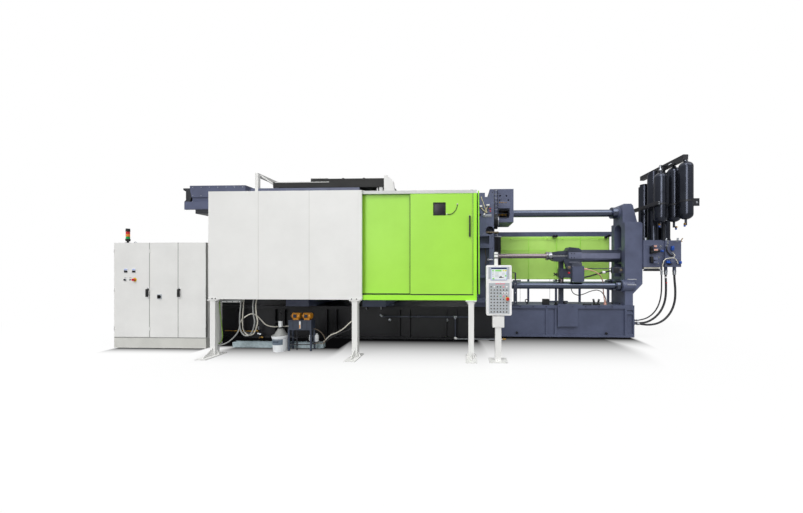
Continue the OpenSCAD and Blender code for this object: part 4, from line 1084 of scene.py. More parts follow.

# %% [markdown]
# ## The platens
#
# The fixed platen carries cables, a chrome clamp and bolts along its
# flanges. Small parts like these tell how large the castings are.

# %% Fixed platen and bracket
# A black strip in the gap beside the flange: painted shade in the gap.
piece("flange_gap", seam_black, boxed((1752, -482.5, 2678), (1780, -470, 3364), 2))
piece("platen_side_shadow_line", dark_enamel, boxed((1747.5, -1001.5, 905), (1752.5, -995, 3212), 1))
flange_z = np.arange(2665, 3400, 88)
piece("flange_bolts", black_steel, bolt_heads(grid(1874, (-448, 448), flange_z), 17, 16, "x", 1))
piece("flange_side_studs", zinc_steel, bolt_heads(grid((1828, 1862), -480, flange_z + 30), 9, 8))
piece(
    "flange_joint", seam_black, boxed((1808.5, -482.5, 2602), (1815.5, -400, 3428), 1),
    boxed((1808.5, 400, 2602), (1815.5, 482.5, 3428), 1),
)
piece("bracket_screws", brass, bolt_heads(grid((1944, 1990, 2036, 2082), -420, 3135), 10, 9))
piece("bracket_slot_line", dark_enamel, border((1925, 2790), (2150, 2980), 10, -422.5, -415, 3))
piece("tie_bar_centres", tie_bar_steel, domes(grid(1874, (-740, 740), (1190, 2670)), 50, 10, "x", 1, 24))
tell("fixed platen and bracket")

# %% Wires on the fixed platen
PLATEN_SIDE = -1000
wires = {
    "platen_wire_long": [
        (1480, 3134), (1495, 3085), (1513, 3037), (1540, 2960), (1562, 2895), (1577, 2843), (1565, 2795),
        (1545, 2762),
    ],
    "platen_wire_left": [
        (1462, 2935), (1486, 2890), (1513, 2859), (1545, 2832), (1577, 2810), (1600, 2790),
    ],
    "platen_wire_right": [
        (1632, 2945), (1612, 2915), (1593, 2880), (1586, 2850), (1590, 2822), (1606, 2800),
    ],
}
for number, (name, stations) in enumerate(wires.items()):
    cord_piece(name, [(x, PLATEN_SIDE - 10 - 9 * number, z) for x, z in stations], 8, sheath_cream)
piece(
    "wire_connectors", white_plastic, boxed((1448, -1040, 2912), (1500, -1000, 2946), 5),
    boxed((1592, -1058, 2930), (1652, -1000, 2962), 5),
    boxed((1530, -1045, 2740), (1560, -1000, 2775), 5),
)
piece(
    "wire_tags", red_plastic, boxed((1646, -1016, 2872), (1690, -998, 2886), 3),
    boxed((1660, -1014, 2815), (1684, -998, 2842), 3),
)
piece("wire_clamp_plate", zinc_steel, boxed((1520, -1006, 2700), (1700, -998, 2760), 3))
piece("lifting_hole_rim", dark_enamel, tube_ring((1456, -1001, 2754), 26, 5))
piece(
    "lifting_hole", seam_black,
    turned([(24, -998), (24, -1002.5), (16, -1003)], "y", 20, (1456, 0, 2754)),
)
edge_cable = [
    (1585, 2060), (1579, 2030), (1577, 2000), (1581, 1950), (1590, 1900), (1594, 1860), (1594, 1820),
    (1588, 1770), (1577, 1710),
]
cord_piece("platen_edge_cable", [(x, -899, z) for x, z in edge_cable], 7, sheath_brown)
tell("wires on the fixed platen")

# %% Clamp and plugs on the fixed platen
piece(
    "chrome_clamp", bright_steel, bar((1612, -1030, 1803), (1722, -1030, 1803), 18),
    turned([(24, -998), (24, -1045), (18, -1050)], "y", 16, (1628, 0, 1803)),
)
small_holes = grid(1342, PLATEN_SIDE, np.arange(1100, 3100, 250))
small_holes += grid(1720, PLATEN_SIDE, np.arange(1050, 2350, 250))
piece("platen_side_plugs", dark_enamel, domes(small_holes, 12, 5, "y", -1, 10))
tell("clamp and plugs on the fixed platen")

# %% Moving and rear platens
for name, x0, x1, body in (("moving", -1262, -512, "moving_platen"), ("rear", -2706, -1716, "machine")):
    places = grid(np.linspace(x0 + 100, x1 - 100, 4), -1000, (1300, 2600))
    piece(f"{name}_platen_bolts", black_steel, bolt_heads(places, 22, 18), body=body)
tell("moving and rear platens")

# %% [markdown]
# ## The shot end
#
# Around the injection cylinder there are sensors, a hand knob, couplings and
# thin cables. Cables are drawn as what they are: a round jacket of a known
# thickness on a smooth curve, from one gland to the next. Each hangs a
# little slack, because a taut wire would be torn off by the first shot.

# %% Fittings on the injection cylinder
SHOT_FRONT = -330
piece(
    "barrel_cheek", barrel_enamel, boxed((3605, -158, 1847), (3905, -146, 1996), 4),
    boxed((3600, -162, 1850), (3640, -150, 1992), 4),
)
piece("barrel_cheek_screws", black_steel, bolt_heads(grid((3665, 3730), -158, (1870, 1972)), 10, 8))
piece(
    "cylinder_boss", dark_enamel,
    turned(
        [(30, 3575), (46, 3580), (46, 3800), (34, 3806), (34, 3840), (10, 3842)], "x", 20,
        (0, -190, 1742),
    ),
)
rings = [
    turned([(98, x), (102, x + 6), (98, x + 12)], "x", 32, (0, 0, 1917))
    for x in (3104, 3128, 3146)
]
piece("coupling_grooves", plunger_steel, *rings, body="plunger")
piece(
    "knob_centre", sheath_brown,
    turned([(34, -388), (34, -394), (28, -398), (6, -400)], "y", 24, (3527, 0, 1643)),
)
knurl = [
    (3527 + 58 * math.cos(a), -364, 1643 + 58 * math.sin(a))
    for a in np.linspace(0, 2 * math.pi, 24, endpoint=False)
]
piece("knob_knurls", black_steel, repeated(boxed((-3, -22, -3), (3, 22, 3), 1, 1), knurl))
piece("limit_lamp", red_lens, domes([(3557, -300, 1517)], 26, 12))
piece("bracket_cap_screws", black_steel, bolt_heads(grid((3350, 3440), -300, (1425, 1580)), 11, 9))
tell("fittings on the injection cylinder")

# %% Leg and cover of the injection cylinder
star = [turned([(20, -240), (20, -290), (14, -295)], "y", 16, (3256, 0, 1477))]
star += [
    bar((3256 - dx, -265, 1477 - dz), (3256 + dx, -265, 1477 + dz), 13, 10)
    for dx, dz in ((40, 34), (40, -34))
]
star.append(bar((3256, -245, 1477), (3330, -245, 1477), 10, 10))
piece("star_knob", black_plastic, *star)
piece(
    "leg_bright_sleeve", plunger_steel,
    turned([(48, 1284), (52, 1288), (52, 1364), (48, 1368)], "z", 20, (3446, -85, 0)),
)
piece(
    "leg_side_nut", zinc_steel,
    turned([(20, -100), (30, -105), (30, -145), (20, -150)], "y", 6, (3271, 0, 1329)),
)
piece("leg_arm", black_enamel, boxed((3262, -135, 1318), (3420, -60, 1340), 4))
piece("box_cover_seam", dark_enamel, border((3640, 1314), (3882, 1660), 4, -331.5, -325, 1))
piece(
    "box_cover_screws", zinc_steel,
    domes(grid((3634, 3888), SHOT_FRONT, (1310, 1664)), 8, 4, "y", -1, 10),
)
tell("leg and cover of the injection cylinder")

# %% Cable ends, sensor and rod nut
piece(
    "rose_gland", sheath_pink,
    turned(
        [(14, 3893), (30, 3896), (30, 3925), (24, 3930), (24, 3972), (14, 3976)], "x", 14,
        (0, -285, 1602),
    ),
)
piece(
    "tube_white_tip", white_plastic,
    turned([(20, 4356), (32, 4360), (32, 4420), (20, 4424)], "x", 14, (0, -210, 1527)),
)
piece("sensor_plate", black_enamel, boxed((4600, -252, 1520), (4720, -243, 1635), 4))
piece(
    "sensor_dial", sheath_brown, turned([(30, -243), (30, -256), (22, -259)], "y", 18, (4770, 0, 1580)),
)
# Two bright steel bars across the boss are painted highlights: the lines where the boss catches the
# light.
highlight_lines = [bar((4845, -379.5, z), (5045, -379.5, z), 9, 10) for z in (1368, 1243)]
piece("boss_clamp_bars", bright_steel, *highlight_lines)
collar = [
    turned([(119, x), (122, x + 8), (119, x + 16)], "x", 32, (0, -200, 1213))
    for x in (4646, 4738)
]
piece("rod_nut_grooves", black_steel, *collar)
tell("cable ends, sensor and rod nut")

# %% Cables of the shot end
cord_piece(
    "rose_sleeve_hose",
    [
        (3897, -285, 1602), (3985, -285, 1596), (4081, -275, 1573), (4169, -255, 1544),
        (4243, -235, 1503), (4316, -200, 1454), (4389, -130, 1365), (4433, -88, 1284), (4438, -84, 1142),
        (4440, -100, 1023), (4433, -135, 949), (4428, -165, 880), (4432, -180, 772),
    ],
    12, sheath_pink,
)
cord_piece(
    "ribbed_tube",
    [
        (3897, -205, 1402), (3975, -205, 1413), (4124, -205, 1451), (4272, -208, 1497),
        (4347, -210, 1515), (4440, -210, 1535), (4515, -210, 1552), (4566, -210, 1560),
    ],
    17, cable_black,
)
cord_piece(
    "shot_signal_cable",
    [
        (3640, -205, 1300), (3640, -205, 1200), (3652, -205, 1100), (3688, -203, 1039),
        (3747, -200, 1002), (3807, -200, 987), (3881, -200, 999), (3955, -200, 1022), (4029, -200, 1055),
        (4103, -200, 1084), (4221, -200, 1108), (4280, -200, 1098), (4339, -200, 1070), (4400, -200, 995),
        (4436, -200, 925), (4450, -200, 860), (4453, -200, 772),
    ],
    10, cable_black,
)
tell("cables of the shot end")

# %% Fittings on the shot bed
piece(
    "bed_junction_box", black_plastic, boxed((2960, -300, 765), (3110, -200, 900), 6),
    boxed((2975, -304, 870), (3095, -298, 892), 2),
)
plugs = [bar((x, -285, 790), (x + lean, -285, 905), 22, 12) for x, lean in ((4148, -30), (4222, 30))]
piece("bed_plugs", black_plastic, boxed((4115, -315, 765), (4262, -255, 800), 6), *plugs)
piece("bed_plug_faces", zinc_steel, domes([(4130, -310, 888), (4240, -310, 888)], 14, 6))
feet = grid((3256, 3454), -300, 766)
piece(
    "bed_hold_downs", black_steel,
    repeated(turned([(45, 0), (45, 20), (28, 24), (28, 75), (20, 85)], "z", 6), feet),
)
piece(
    "bed_glands", sheath_pink,
    turned([(34, 764), (34, 800), (22, 805), (22, 860), (12, 868)], "z", 12, (4436, -185, 0)),
)
piece(
    "bed_stop_screws", black_steel,
    bolt_heads([(4545, -300, 792), (2600, -280, 792), (4700, -330, 792)], 22, 30, "z", 1),
)
piece("bed_lifting_ring", black_steel, tube_ring((2580, -300, 860), 34, 11))
piece("bed_oil_lip", black_enamel, boxed((3860, -335, 768), (4060, -315, 800), 4))
bed_screws = grid(np.arange(2120, 4800, 300), -347.5, 735)
piece("bed_edge_screws", black_steel, bolt_heads(bed_screws, 10, 6))
drain = turned([(30, -312), (30, -330), (20, -335), (20, -352), (4, -354)], "y", 6)
piece("bed_drain_plugs", black_steel, repeated(drain, grid((2350, 4400), 0, 120)))
tell("fittings on the shot bed")

# %% Sensor post beside the sleeve
POST_Y = (-345, -295)
piece(
    "sensor_post", dark_enamel, boxed((2272, POST_Y[0], 766), (2352, POST_Y[1], 1320), 6),
    boxed((2255, POST_Y[0], 1318), (2441, POST_Y[1], 1345), 5),
    boxed((2300, POST_Y[0], 1340), (2330, POST_Y[1], 1515), 5),
    boxed((2250, POST_Y[0], 1508), (2322, POST_Y[1], 1524), 4),
    boxed((2235, POST_Y[0] - 10, 764), (2390, POST_Y[1] + 30, 780), 4),
)
piece("sensor_post_screws", zinc_steel, bolt_heads(grid(2312, POST_Y[0], (840, 1050, 1260)), 12, 8))
tell("sensor post beside the sleeve")

# %% Rear guard of the shot end
REAR_GUARD = 960
seams = strips((2899, 3660, 4306), 4, (REAR_GUARD - 1, 1345), (REAR_GUARD + 10, 2490))
seams.append(boxed((2140, REAR_GUARD - 1, 2436), (5070, REAR_GUARD + 10, 2444), 1))
seams.append(boxed((2140, REAR_GUARD - 1, 2108), (3400, REAR_GUARD + 10, 2113), 1))
piece("rear_guard_seams", sill_powder, *seams)
piece(
    "rear_guard_hooks", green_powder,
    domes(
        [(x, REAR_GUARD - 4, z) for x, z in ((3397, 2430), (3819, 2420), (4807, 2417), (2411, 2427))], 20,
        12,
    ),
)
piece(
    "rail_stops", black_steel,
    *[
        turned([(30, 900), (36, 905), (36, 965), (30, 970)], "y", 16, (x, 0, z))
        for x, z in ((4985, 2462), (5062, 2500), (3575, 2492), (3643, 2495))
    ],
)
back = strips((2700, 3530, 4360), 4, (1149, 80), (1151, 2600))
piece("shot_guard_back_seams", dark_enamel, *back)
tell("rear guard of the shot end")

# %% [markdown]
# ## Valves, pipes and bottles
#
# The valve block is a cube of steel drilled from all sides. What shows are
# solenoid coils in black and blue, plugs, a cream drain pipe and the hose
# ends. Each bottle has a brass gas valve below and a steel cap on top.

# %% Valves on the block
def block_face(x):
    """The front of the block at x: its right part stands forward of the left."""
    return -350 if x < 5679 else -390


def valve_coil(x, z, across, tall, deep=50):
    """A solenoid coil: a rounded square body with a turned nut in front of it."""
    face = block_face(x)
    body = boxed((x - across / 2, face - deep, z - tall / 2), (x + across / 2, face, z + tall / 2), 8)
    y = face - deep
    nut = turned([(0.3 * across, y), (0.3 * across, y - 12), (0.2 * across, y - 14)], "y", 16, (x, 0, z))
    return joined(body, nut)


piece(
    "valve_coils_black", black_plastic, valve_coil(5375, 2080, 48, 90, 75),
    valve_coil(5375, 1990, 48, 75, 75), valve_coil(5530, 2020, 62, 60, 60),
    valve_coil(5445, 1993, 110, 34, 70), valve_coil(5375, 1820, 48, 140, 75),
    valve_coil(5765, 1722, 90, 30, 30),
)
piece(
    "valve_coils_blue", blue_plastic, valve_coil(5823, 2075, 54, 100, 55),
    valve_coil(5622, 2015, 52, 45, 50), valve_coil(5740, 1764, 105, 60, 50),
    valve_coil(5985, 1752, 52, 62, 60),
)
steel_plugs = [
    (5601, 2122), (5840, 1964), (5735, 2240), (5735, 2190), (5715, 2130), (5560, 1870), (5540, 1740),
    (5935, 2240),
]
piece("valve_plugs", zinc_steel, bolt_heads([(x, block_face(x), z) for x, z in steel_plugs], 20, 22))
piece(
    "valve_brown_plates", sheath_pink, boxed((5405, -438, 2100), (5470, -430, 2140), 3),
    boxed((5405, -438, 2018), (5490, -430, 2058), 3),
)
piece("block_top_line", barrel_enamel, boxed((5240, -352, 2160), (5655, -345, 2168), 0.8))
drain_pipe = [
    (5576, 1600), (5588, 1700), (5609, 1792), (5665, 1842), (5829, 1858), (5888, 1815), (5925, 1722),
]
piece(
    "drain_pipe", cable_white, pipe_run([(x, -446, z) for x, z in drain_pipe], 9, 30, 10),
    pipe_run([(5829, -446, 1858), (5860, -446, 1915), (5840, -420, 1964)], 8, 20, 10),
)
cord_piece(
    "block_signal_hose",
    [
        (5700, -397, 2112), (5698, -408, 2075), (5703, -414, 2035), (5716, -416, 1998),
        (5738, -416, 1962), (5768, -414, 1932), (5800, -408, 1914), (5836, -400, 1908),
    ],
    14, cable_black,
)
piece(
    "block_clamp_plates", black_enamel, boxed((5300, -345, 1556), (5600, -200, 1588), 6),
    boxed((5310, -338, 1586), (5600, -210, 1610), 4),
)
piece("block_pale_band", cable_white, boxed((5242, -334, 1612), (5598, -328, 1646), 2))
tell("valves on the block")

# %% Ports and eyes of the block
lift_eye = turned([(10, 0), (20, 4), (20, 55), (12, 60)], "z", 8)
piece(
    "block_gauge_port", brass, bar((6005, -370, 2180), (6040, -370, 2240), 14, 12),
    bar((6040, -370, 2240), (6080, -370, 2305), 10, 12),
    bar((6015, -370, 2225), (6072, -370, 2229), 8, 10),
)
piece(
    "block_lifting_eyes", zinc_steel,
    repeated(lift_eye, [(5300, -300, 2263), (5720, -360, 2253), (5980, -360, 2253)]),
)
tell("ports and eyes of the block")

# %% Hose ends
HOSE_TOPS = ((5663, -290, 1570, 14), (5790, -240, 1570, 22), (5943, -300, 1570, 22))
for number, (x, y, z, r) in enumerate(HOSE_TOPS):
    crimp = [
        (r * 1.2, z - 100), (r * 1.55, z - 96), (r * 1.55, z - 36), (r * 1.2, z - 30), (r * 1.8, z - 28),
        (r * 1.8, z - 2), (r * 1.2, z),
    ]
    piece(f"hose_crimp_{number}", zinc_steel, turned(crimp, "z", 18, (x, y, 0)))
piece(
    "hose_middle_ring", white_plastic,
    turned([(22.5, 1395), (24.5, 1398), (24.5, 1425), (22.5, 1428)], "z", 16, (5792, -240, 0)),
)
piece("hose_middle_tag", red_plastic, domes([(5799, -262, 1285)], 16, 6))
HOSE_PORTS = ((-290, 420, 14), (-240, 345, 22), (-300, 345, 22))
for number, (y, z, r) in enumerate(HOSE_PORTS):
    ferrule = [(r * 1.2, 5092), (r * 1.5, 5096), (r * 1.5, 5145), (r * 1.2, 5150)]
    piece(f"hose_ferrule_{number}", zinc_steel, turned(ferrule, "x", 16, (0, y, z)))
tell("hose ends")

# %% Bottle valves and caps
BOTTLE_VALVES = ((5767, -860, 2560), (5834, -510, 2540), (5441, -560, 2590))
for number, (x, y, z) in enumerate(BOTTLE_VALVES):
    body = [(10, z + 20), (20, z + 16), (22, z - 20), (12, z - 24)]
    cap = [(12, z - 24), (19, z - 28), (19, z - 56), (12, z - 60)]
    piece(
        f"gas_valve_{number}", brass, turned(body, "z", 6, (x, y, 0)),
        bar((x, y - 10, z), (x + 35, y - 10, z), 8, 8),
    )
    piece(f"gas_valve_cap_{number}", blue_plastic, turned(cap, "z", 14, (x, y, 0)))

bottle_top = [(20, 0), (30, 6), (30, 35), (18, 40), (18, 70), (26, 74), (26, 105), (12, 112)]
piece(
    "bottle_top_fittings", bright_steel, turned(bottle_top, "z", 8, (5774, -860, 3880)),
    bar((5774, -880, 3968), (5836, -880, 3990), 10, 10),
    bar((5740, -880, 3955), (5774, -880, 3955), 12, 10),
    turned(bottle_top, "z", 8, (5459, -560, 3780)),
    bar((5430, -580, 3868), (5459, -580, 3868), 12, 10),
)
piece(
    "bottle_gas_pipe", bright_steel,
    pipe_run(
        [(5459, -560, 3880), (5500, -500, 3925), (5585, -420, 3930), (5600, -400, 3800)], 11, 30, 10,
    ),
    pipe_run([(5600, -620, 3880), (5640, -620, 3915), (5705, -620, 3920)], 10, 30, 10),
)
piece(
    "rack_ear_hole", bright_steel, tube_ring((5985, -902, 3005), 20, 4),
    turned([(18, -899), (18, -902.5), (10, -903)], "y", 16, (5985, 0, 3005)),
)
piece(
    "rack_bolts", zinc_steel, bolt_heads(grid(5305, -760, (3012, 3048)), 12, 10),
    bolt_heads(grid(5960, (-820, -600, -400), 3030), 14, 10, "x", 1),
    bolt_heads(grid(5760, (-700, -200, 300), 4002), 16, 6, "z", 1),
)
piece(
    "silver_elbow", bright_steel, bar((5705, -400, 2735), (5765, -400, 2770), 13, 10),
    turned([(12, 2700), (18, 2705), (18, 2735), (12, 2740)], "z", 10, (5705, -400, 0)),
)
tell("bottle valves and caps")

# %% [markdown]
# ## Under the clamp guard
#
# Cables drop from the guard's lower rail in slack loops, and oil hoses run
# to the lubrication unit. They are drawn one by one, from gland to gland.
# Each loop is a list of places along the cable, and a smooth curve joins them.

# %% Cables under the guard
earth_green = coating("green_earth_wire_jacket", "#6F8F3C", "#638033", 0.5, 60, 3, 0.1)
LOOP_Y = -1840
left_loop = [
    (-3055, 1052), (-3066, 980), (-3075, 860), (-3085, 750), (-3088, 600), (-3072, 470), (-3020, 385),
    (-2950, 358), (-2880, 390), (-2828, 490), (-2800, 620), (-2822, 750), (-2835, 920), (-2815, 1052),
]
inner_loop = [
    (-3020, 1052), (-3034, 910), (-3046, 750), (-3048, 620), (-3046, 500), (-3017, 431), (-2948, 402),
    (-2879, 431), (-2850, 500), (-2848, 620), (-2858, 760), (-2866, 900), (-2862, 1052),
]
loops = (
    (left_loop, 0, 12, cable_grey), (inner_loop, 28, 10, cable_black), (left_loop, 44, 12, cable_white),
)
for number, (loop, across, radius, jacket) in enumerate(loops):
    stations = [(x + across * 0.5, LOOP_Y + across, z) for x, z in loop]
    cord_piece(f"guard_loop_{number}", stations, radius, jacket)
tell("cables under the guard")

# %% Hoses and cables of the posts and the unit
cord_piece(
    "oil_feed_hose",
    [
        (-3088, -1822, 600), (-3070, -1815, 655), (-3020, -1805, 700), (-2950, -1790, 748),
        (-2890, -1765, 758), (-2840, -1730, 720), (-2785, -1690, 630), (-2725, -1640, 530),
        (-2640, -1560, 475), (-2560, -1480, 462), (-2450, -1450, 462), (-2340, -1450, 470),
    ],
    10, cable_white,
)
cord_piece(
    "post_feed_cable",
    [
        (-3086, -1838, 560), (-3105, -1845, 460), (-3160, -1855, 365), (-3240, -1860, 285),
        (-3320, -1862, 230), (-3410, -1864, 195), (-3484, -1865, 180),
    ],
    11, cable_grey,
)
cord_piece(
    "post_earth_cable",
    [
        (-3470, -1850, 1052), (-3462, -1850, 840), (-3440, -1850, 650), (-3422, -1850, 460),
        (-3415, -1850, 350), (-3430, -1850, 270), (-3462, -1850, 222), (-3486, -1852, 212),
    ],
    9, earth_green,
)
cord_piece(
    "unit_return_hose",
    [
        (-1872, -1470, 425), (-1800, -1470, 405), (-1730, -1470, 360), (-1672, -1470, 290),
        (-1640, -1470, 215), (-1645, -1470, 155), (-1690, -1470, 125), (-1760, -1470, 140),
        (-1820, -1470, 132), (-1868, -1470, 130),
    ],
    7, sheath_brown,
)
cord_piece(
    "unit_supply_hose",
    [
        (-922, -1860, 670), (-1010, -1840, 600), (-1130, -1780, 500), (-1280, -1700, 410),
        (-1460, -1600, 330), (-1570, -1520, 250), (-1650, -1440, 180), (-1710, -1370, 140),
        (-1760, -1310, 116),
    ],
    11, cable_white,
)
cord_piece(
    "unit_drain_hose",
    [
        (-922, -1875, 560), (-1010, -1850, 490), (-1120, -1800, 440), (-1250, -1730, 385),
        (-1410, -1640, 310), (-1540, -1545, 225), (-1630, -1455, 160), (-1700, -1375, 128),
        (-1752, -1325, 114),
    ],
    10, cable_black,
)
tell("hoses and cables of the posts and the unit")

# %% Fittings under the guard
piece(
    "cable_tray", grey_powder, boxed((-3480, -1790, 985), (-3070, -1786, 1052), 2),
    boxed((-3480, -1850, 985), (-3070, -1786, 990), 2),
    boxed((-3480, -1850, 985), (-3070, -1846, 1012), 2),
)
piece("tray_screws", black_steel, bolt_heads(grid(np.arange(-3440, -3080, 110), -1850, 999), 7, 5))
piece(
    "brass_pipes", brass,
    pipe_run(
        [(-3600, -660, 190), (-3660, -700, 190), (-4020, -700, 190), (-4330, -700, 200)], 13, 30, 10,
    ),
    bar((-3640, -690, 190), (-3550, -690, 200), 24, 10),
    bar((-4100, -700, 190), (-4040, -700, 190), 22, 10),
    pipe_run([(-3560, -660, 30), (-3520, -700, 60), (-3440, -700, 50)], 16, 30, 10),
)
piece(
    "small_valves", zinc_steel, bar((-3540, -700, 300), (-3540, -700, 230), 20, 10),
    bar((-3560, -700, 140), (-3480, -700, 120), 22, 10),
)
piece(
    "small_bottles", pail_white,
    turned(
        [(28, 165), (30, 170), (30, 265), (18, 285), (18, 305), (10, 308)], "z", 14, (-1977, -1380, 0),
    ),
    turned(
        [(36, 155), (38, 160), (38, 270), (20, 290), (20, 310), (10, 313)], "z", 14, (-1843, -1400, 0),
    ),
)
piece("small_bottle_shelf", black_enamel, boxed((-2020, -1430, 140), (-1800, -1350, 156), 3))
tell("fittings under the guard")

# %% Tank and motors of the lubrication unit
piece("tank_gauge", white_plastic, boxed((-2110, -1568, 440), (-2080, -1559, 585), 3))
piece("tank_gauge_scale", motor_orange, boxed((-2104, -1571.5, 450), (-2086, -1567, 520), 2))
piece(
    "unit_frame_braces", black_enamel, bar((-2325, -1550, 130), (-1885, -1550, 130), 10, 10),
    bar((-2160, -1550, 20), (-2160, -1550, 400), 11, 10),
    bar((-2325, -1550, 300), (-2160, -1550, 240), 7, 8),
)
tank_seams = strips((-2240, -2050, -1960), 2.5, (-1556.8, 436), (-1540, 596))
piece("unit_tank_seams", seam_black, *tank_seams)
piece("unit_tank_lid", tank_blue_grey, boxed((-2336, -1558, 592), (-1871, -1397, 604), 3))
MOTORS = (-2210, -1990)
MOTOR_AXIS = (0, -1475, 682)
fins = [
    turned([(58.5, x + dx), (60.5, x + dx + 4), (58.5, x + dx + 8)], "x", 20, MOTOR_AXIS)
    for x in MOTORS for dx in np.arange(-55, 50, 16)
]
piece("motor_fins", motor_orange, *fins)
end_caps = [
    turned([(52, x - 88), (59, x - 82), (59, x - 70), (50, x - 68)], "x", 20, MOTOR_AXIS)
    for x in MOTORS
]
piece("motor_end_caps", black_steel, *end_caps)
tell("tank and motors of the lubrication unit")

# %% Pail
PAIL = (-2504, -1530, 0)
piece("pail_rim", pail_white, turned([(147, 268), (153, 272), (153, 280), (147, 284)], "z", 40, PAIL))
PATCH_STEPS = 12
angle = np.linspace(math.radians(-138), math.radians(-42), PATCH_STEPS + 1)
patch = [
    (PAIL[0] + radius * math.cos(a), PAIL[1] + radius * math.sin(a), z)
    for z, radius in ((140, 141), (252, 145.7)) for a in angle
]
above = PATCH_STEPS + 1
patch_faces = [[i, i + 1, i + above + 1, i + above] for i in range(PATCH_STEPS)]
piece("pail_patch", patch_grey, (np.array(patch), patch_faces))
piece("pail_patch_bar", motor_blue, boxed((-2560, -1679, 196), (-2455, -1672, 210), 2))
piece("pump_collar", black_plastic, turned([(46, 440), (50, 446), (50, 462), (39, 468)], "z", 24, PAIL))
piece(
    "pump_grip", black_plastic, turned([(12, 715), (20, 720), (22, 750), (12, 760)], "z", 16, PAIL),
    bar((-2504, -1530, 575), (-2600, -1530, 560), 9, 10),
    bar((-2600, -1530, 560), (-2630, -1530, 520), 8, 10),
)
HANDLE_REACH = 150
handle_x = np.linspace(-HANDLE_REACH, HANDLE_REACH, 15)
sag = np.cos(handle_x / HANDLE_REACH * math.pi / 2)
handle = np.stack([PAIL[0] + handle_x, PAIL[1] - 50 - 104.5 * sag, 262 - 30 * sag], axis=-1)
piece("pail_handle", zinc_steel, swept(handle, circle(3.5, 8), (0, 0, 1)))
tell("pail")

# %% Fittings on the clamp bed
BED_FRONT = -660
piece(
    "bed_ball_valve", brass, bar((-1020, -700, 795), (-860, -700, 795), 16, 10),
    turned([(12, -655), (28, -660), (28, -720), (12, -725)], "y", 12, (-940, 0, 795)),
)
piece("bed_valve_lever", yellow_plastic, boxed((-950, -738, 800), (-860, -728, 815), 3))
piece(
    "bed_elbows", zinc_steel,
    pipe_run([(-800, -700, 800), (-740, -700, 780), (-735, -700, 700)], 13, 30, 10),
    bar((-755, -720, 590), (-700, -720, 545), 24, 12), bar((890, -720, 545), (962, -720, 545), 25, 12),
    bar((925, -720, 545), (925, -720, 500), 23, 12), bar((-1080, -700, 740), (-1060, -700, 700), 18, 10),
)
piece(
    "bed_drain_elbow", white_plastic, bar((905, -722, 95), (960, -722, 60), 26, 12),
    bar((1900, -722, 60), (2030, -722, 60), 18, 12),
)
piece("bed_plug_discs", zinc_steel, domes(grid((-567, 731), -600, 450), 36, 14, "y", -1, 20))
bed_rows = grid((-1150, -1060, -640, -220, 200, 290, 780, 1240), BED_FRONT, 710)
piece("bed_flange_screws", black_steel, bolt_heads(bed_rows, 11, 8))
rows_back = grid(np.arange(-4600, 1800, 400), 660, 730)
piece("bed_back_screws", black_steel, bolt_heads(rows_back, 12, 8, "y", 1))
tell("fittings on the clamp bed")

# %% Roof braces
piece(
    "gantry_brace", white_powder, bar((-2735, -1820, 3390), (-2405, -1700, 3150), 16, 10),
    bar((-2735, 1150, 3350), (-2405, 1150, 3150), 16, 10),
)
piece("deck_white_strip", white_powder, boxed((-2410, -1853, 3222), (-1380, -1849.5, 3232), 1))
braces = [boxed((x, -1720, 3236), (x + 30, 1720, 3250), 2) for x in (-1419, -1020)]
piece("deck_cross_strips", grey_powder, *braces)
tell("roof braces")

# %% Arch, shelf and bracket window
piece(
    "arch_shelf", sheath_brown, boxed((1585, -1012, 2368), (1850, -800, 2396), 4),
    boxed((1600, -1016, 2396), (1640, -900, 2404), 2),
)
piece(
    "shelf_end_bracket", zinc_steel, boxed((1860, -520, 2330), (1880, -482, 2460), 3),
    boxed((1820, -520, 2330), (1965, -482, 2350), 3),
)
piece(
    "bracket_window_bolts", brass, bolt_heads(grid((1950, 2040, 2120), -130, 2905), 22, 16),
    bar((1905, -135, 2905), (2165, -135, 2905), 14, 10),
)
piece("bracket_window_shade", black_enamel, boxed((1960, -405, 2955), (2130, -120, 2968), 4))
tell("arch, shelf and bracket window")

# %% [markdown]
# ## Floor, light and world
#
# The hall floor is pale and sealed, and under the machine a painted shadow darkens it,
# fading out to the front and the sides. Soft light comes mostly from above: a world
# that is brighter towards the zenith, and three wide soft suns, one of them
# low. Light from above leaves the space under the guards dark, as it is in a
# real hall, and the clamp bed's near-black enamel adds painted shade there. The
# world looks white to the camera, but lights the machine at a plain level.

# %% Floor
FLOOR_REACH = 40.0
# The floor's own colour, and the colour of the shadow painted under the machine.
FLOOR_COLOUR, SHADOW_COLOUR = "#F4F4F4", "#0B0B0C"
FLOOR_GLOW = 1.085
GLOW_SHARE = 0.85
guard_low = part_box("guard_panels")[0]
door_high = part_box("door_surround")[1]
bed_low, bed_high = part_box("shot_bed")
cabinet_low, cabinet_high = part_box("cabinet_body")
unit_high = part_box("lubrication_unit")[1]
# Each painted shadow runs from x to x and from its front edge to its rear edge. Then come the
# width of its fade to the front and rear, and the width of its fade to the sides.
PAINTED_SHADOWS = [
    (cabinet_high[0] - 0.40, guard_low[0] + 0.10, -1.24, 0.70, 0.30, 0.30),
    (guard_low[0] + 0.08, unit_high[0] + 0.45, -1.34, 0.70, 1.10, 0.40),
    (unit_high[0], door_high[0], -0.70, 0.30, 1.95, 0.50),
    (door_high[0], bed_high[0] - 0.75, bed_low[1], 0.30, 2.15, 0.50),
    (bed_high[0] - 1.00, bed_high[0] - 0.08, bed_low[1], 0.60, 0.95, 0.14),
    (cabinet_low[0] + 0.12, cabinet_high[0] - 0.03, -1.47, cabinet_high[1] - 0.20, 0.42, 0.10),
]

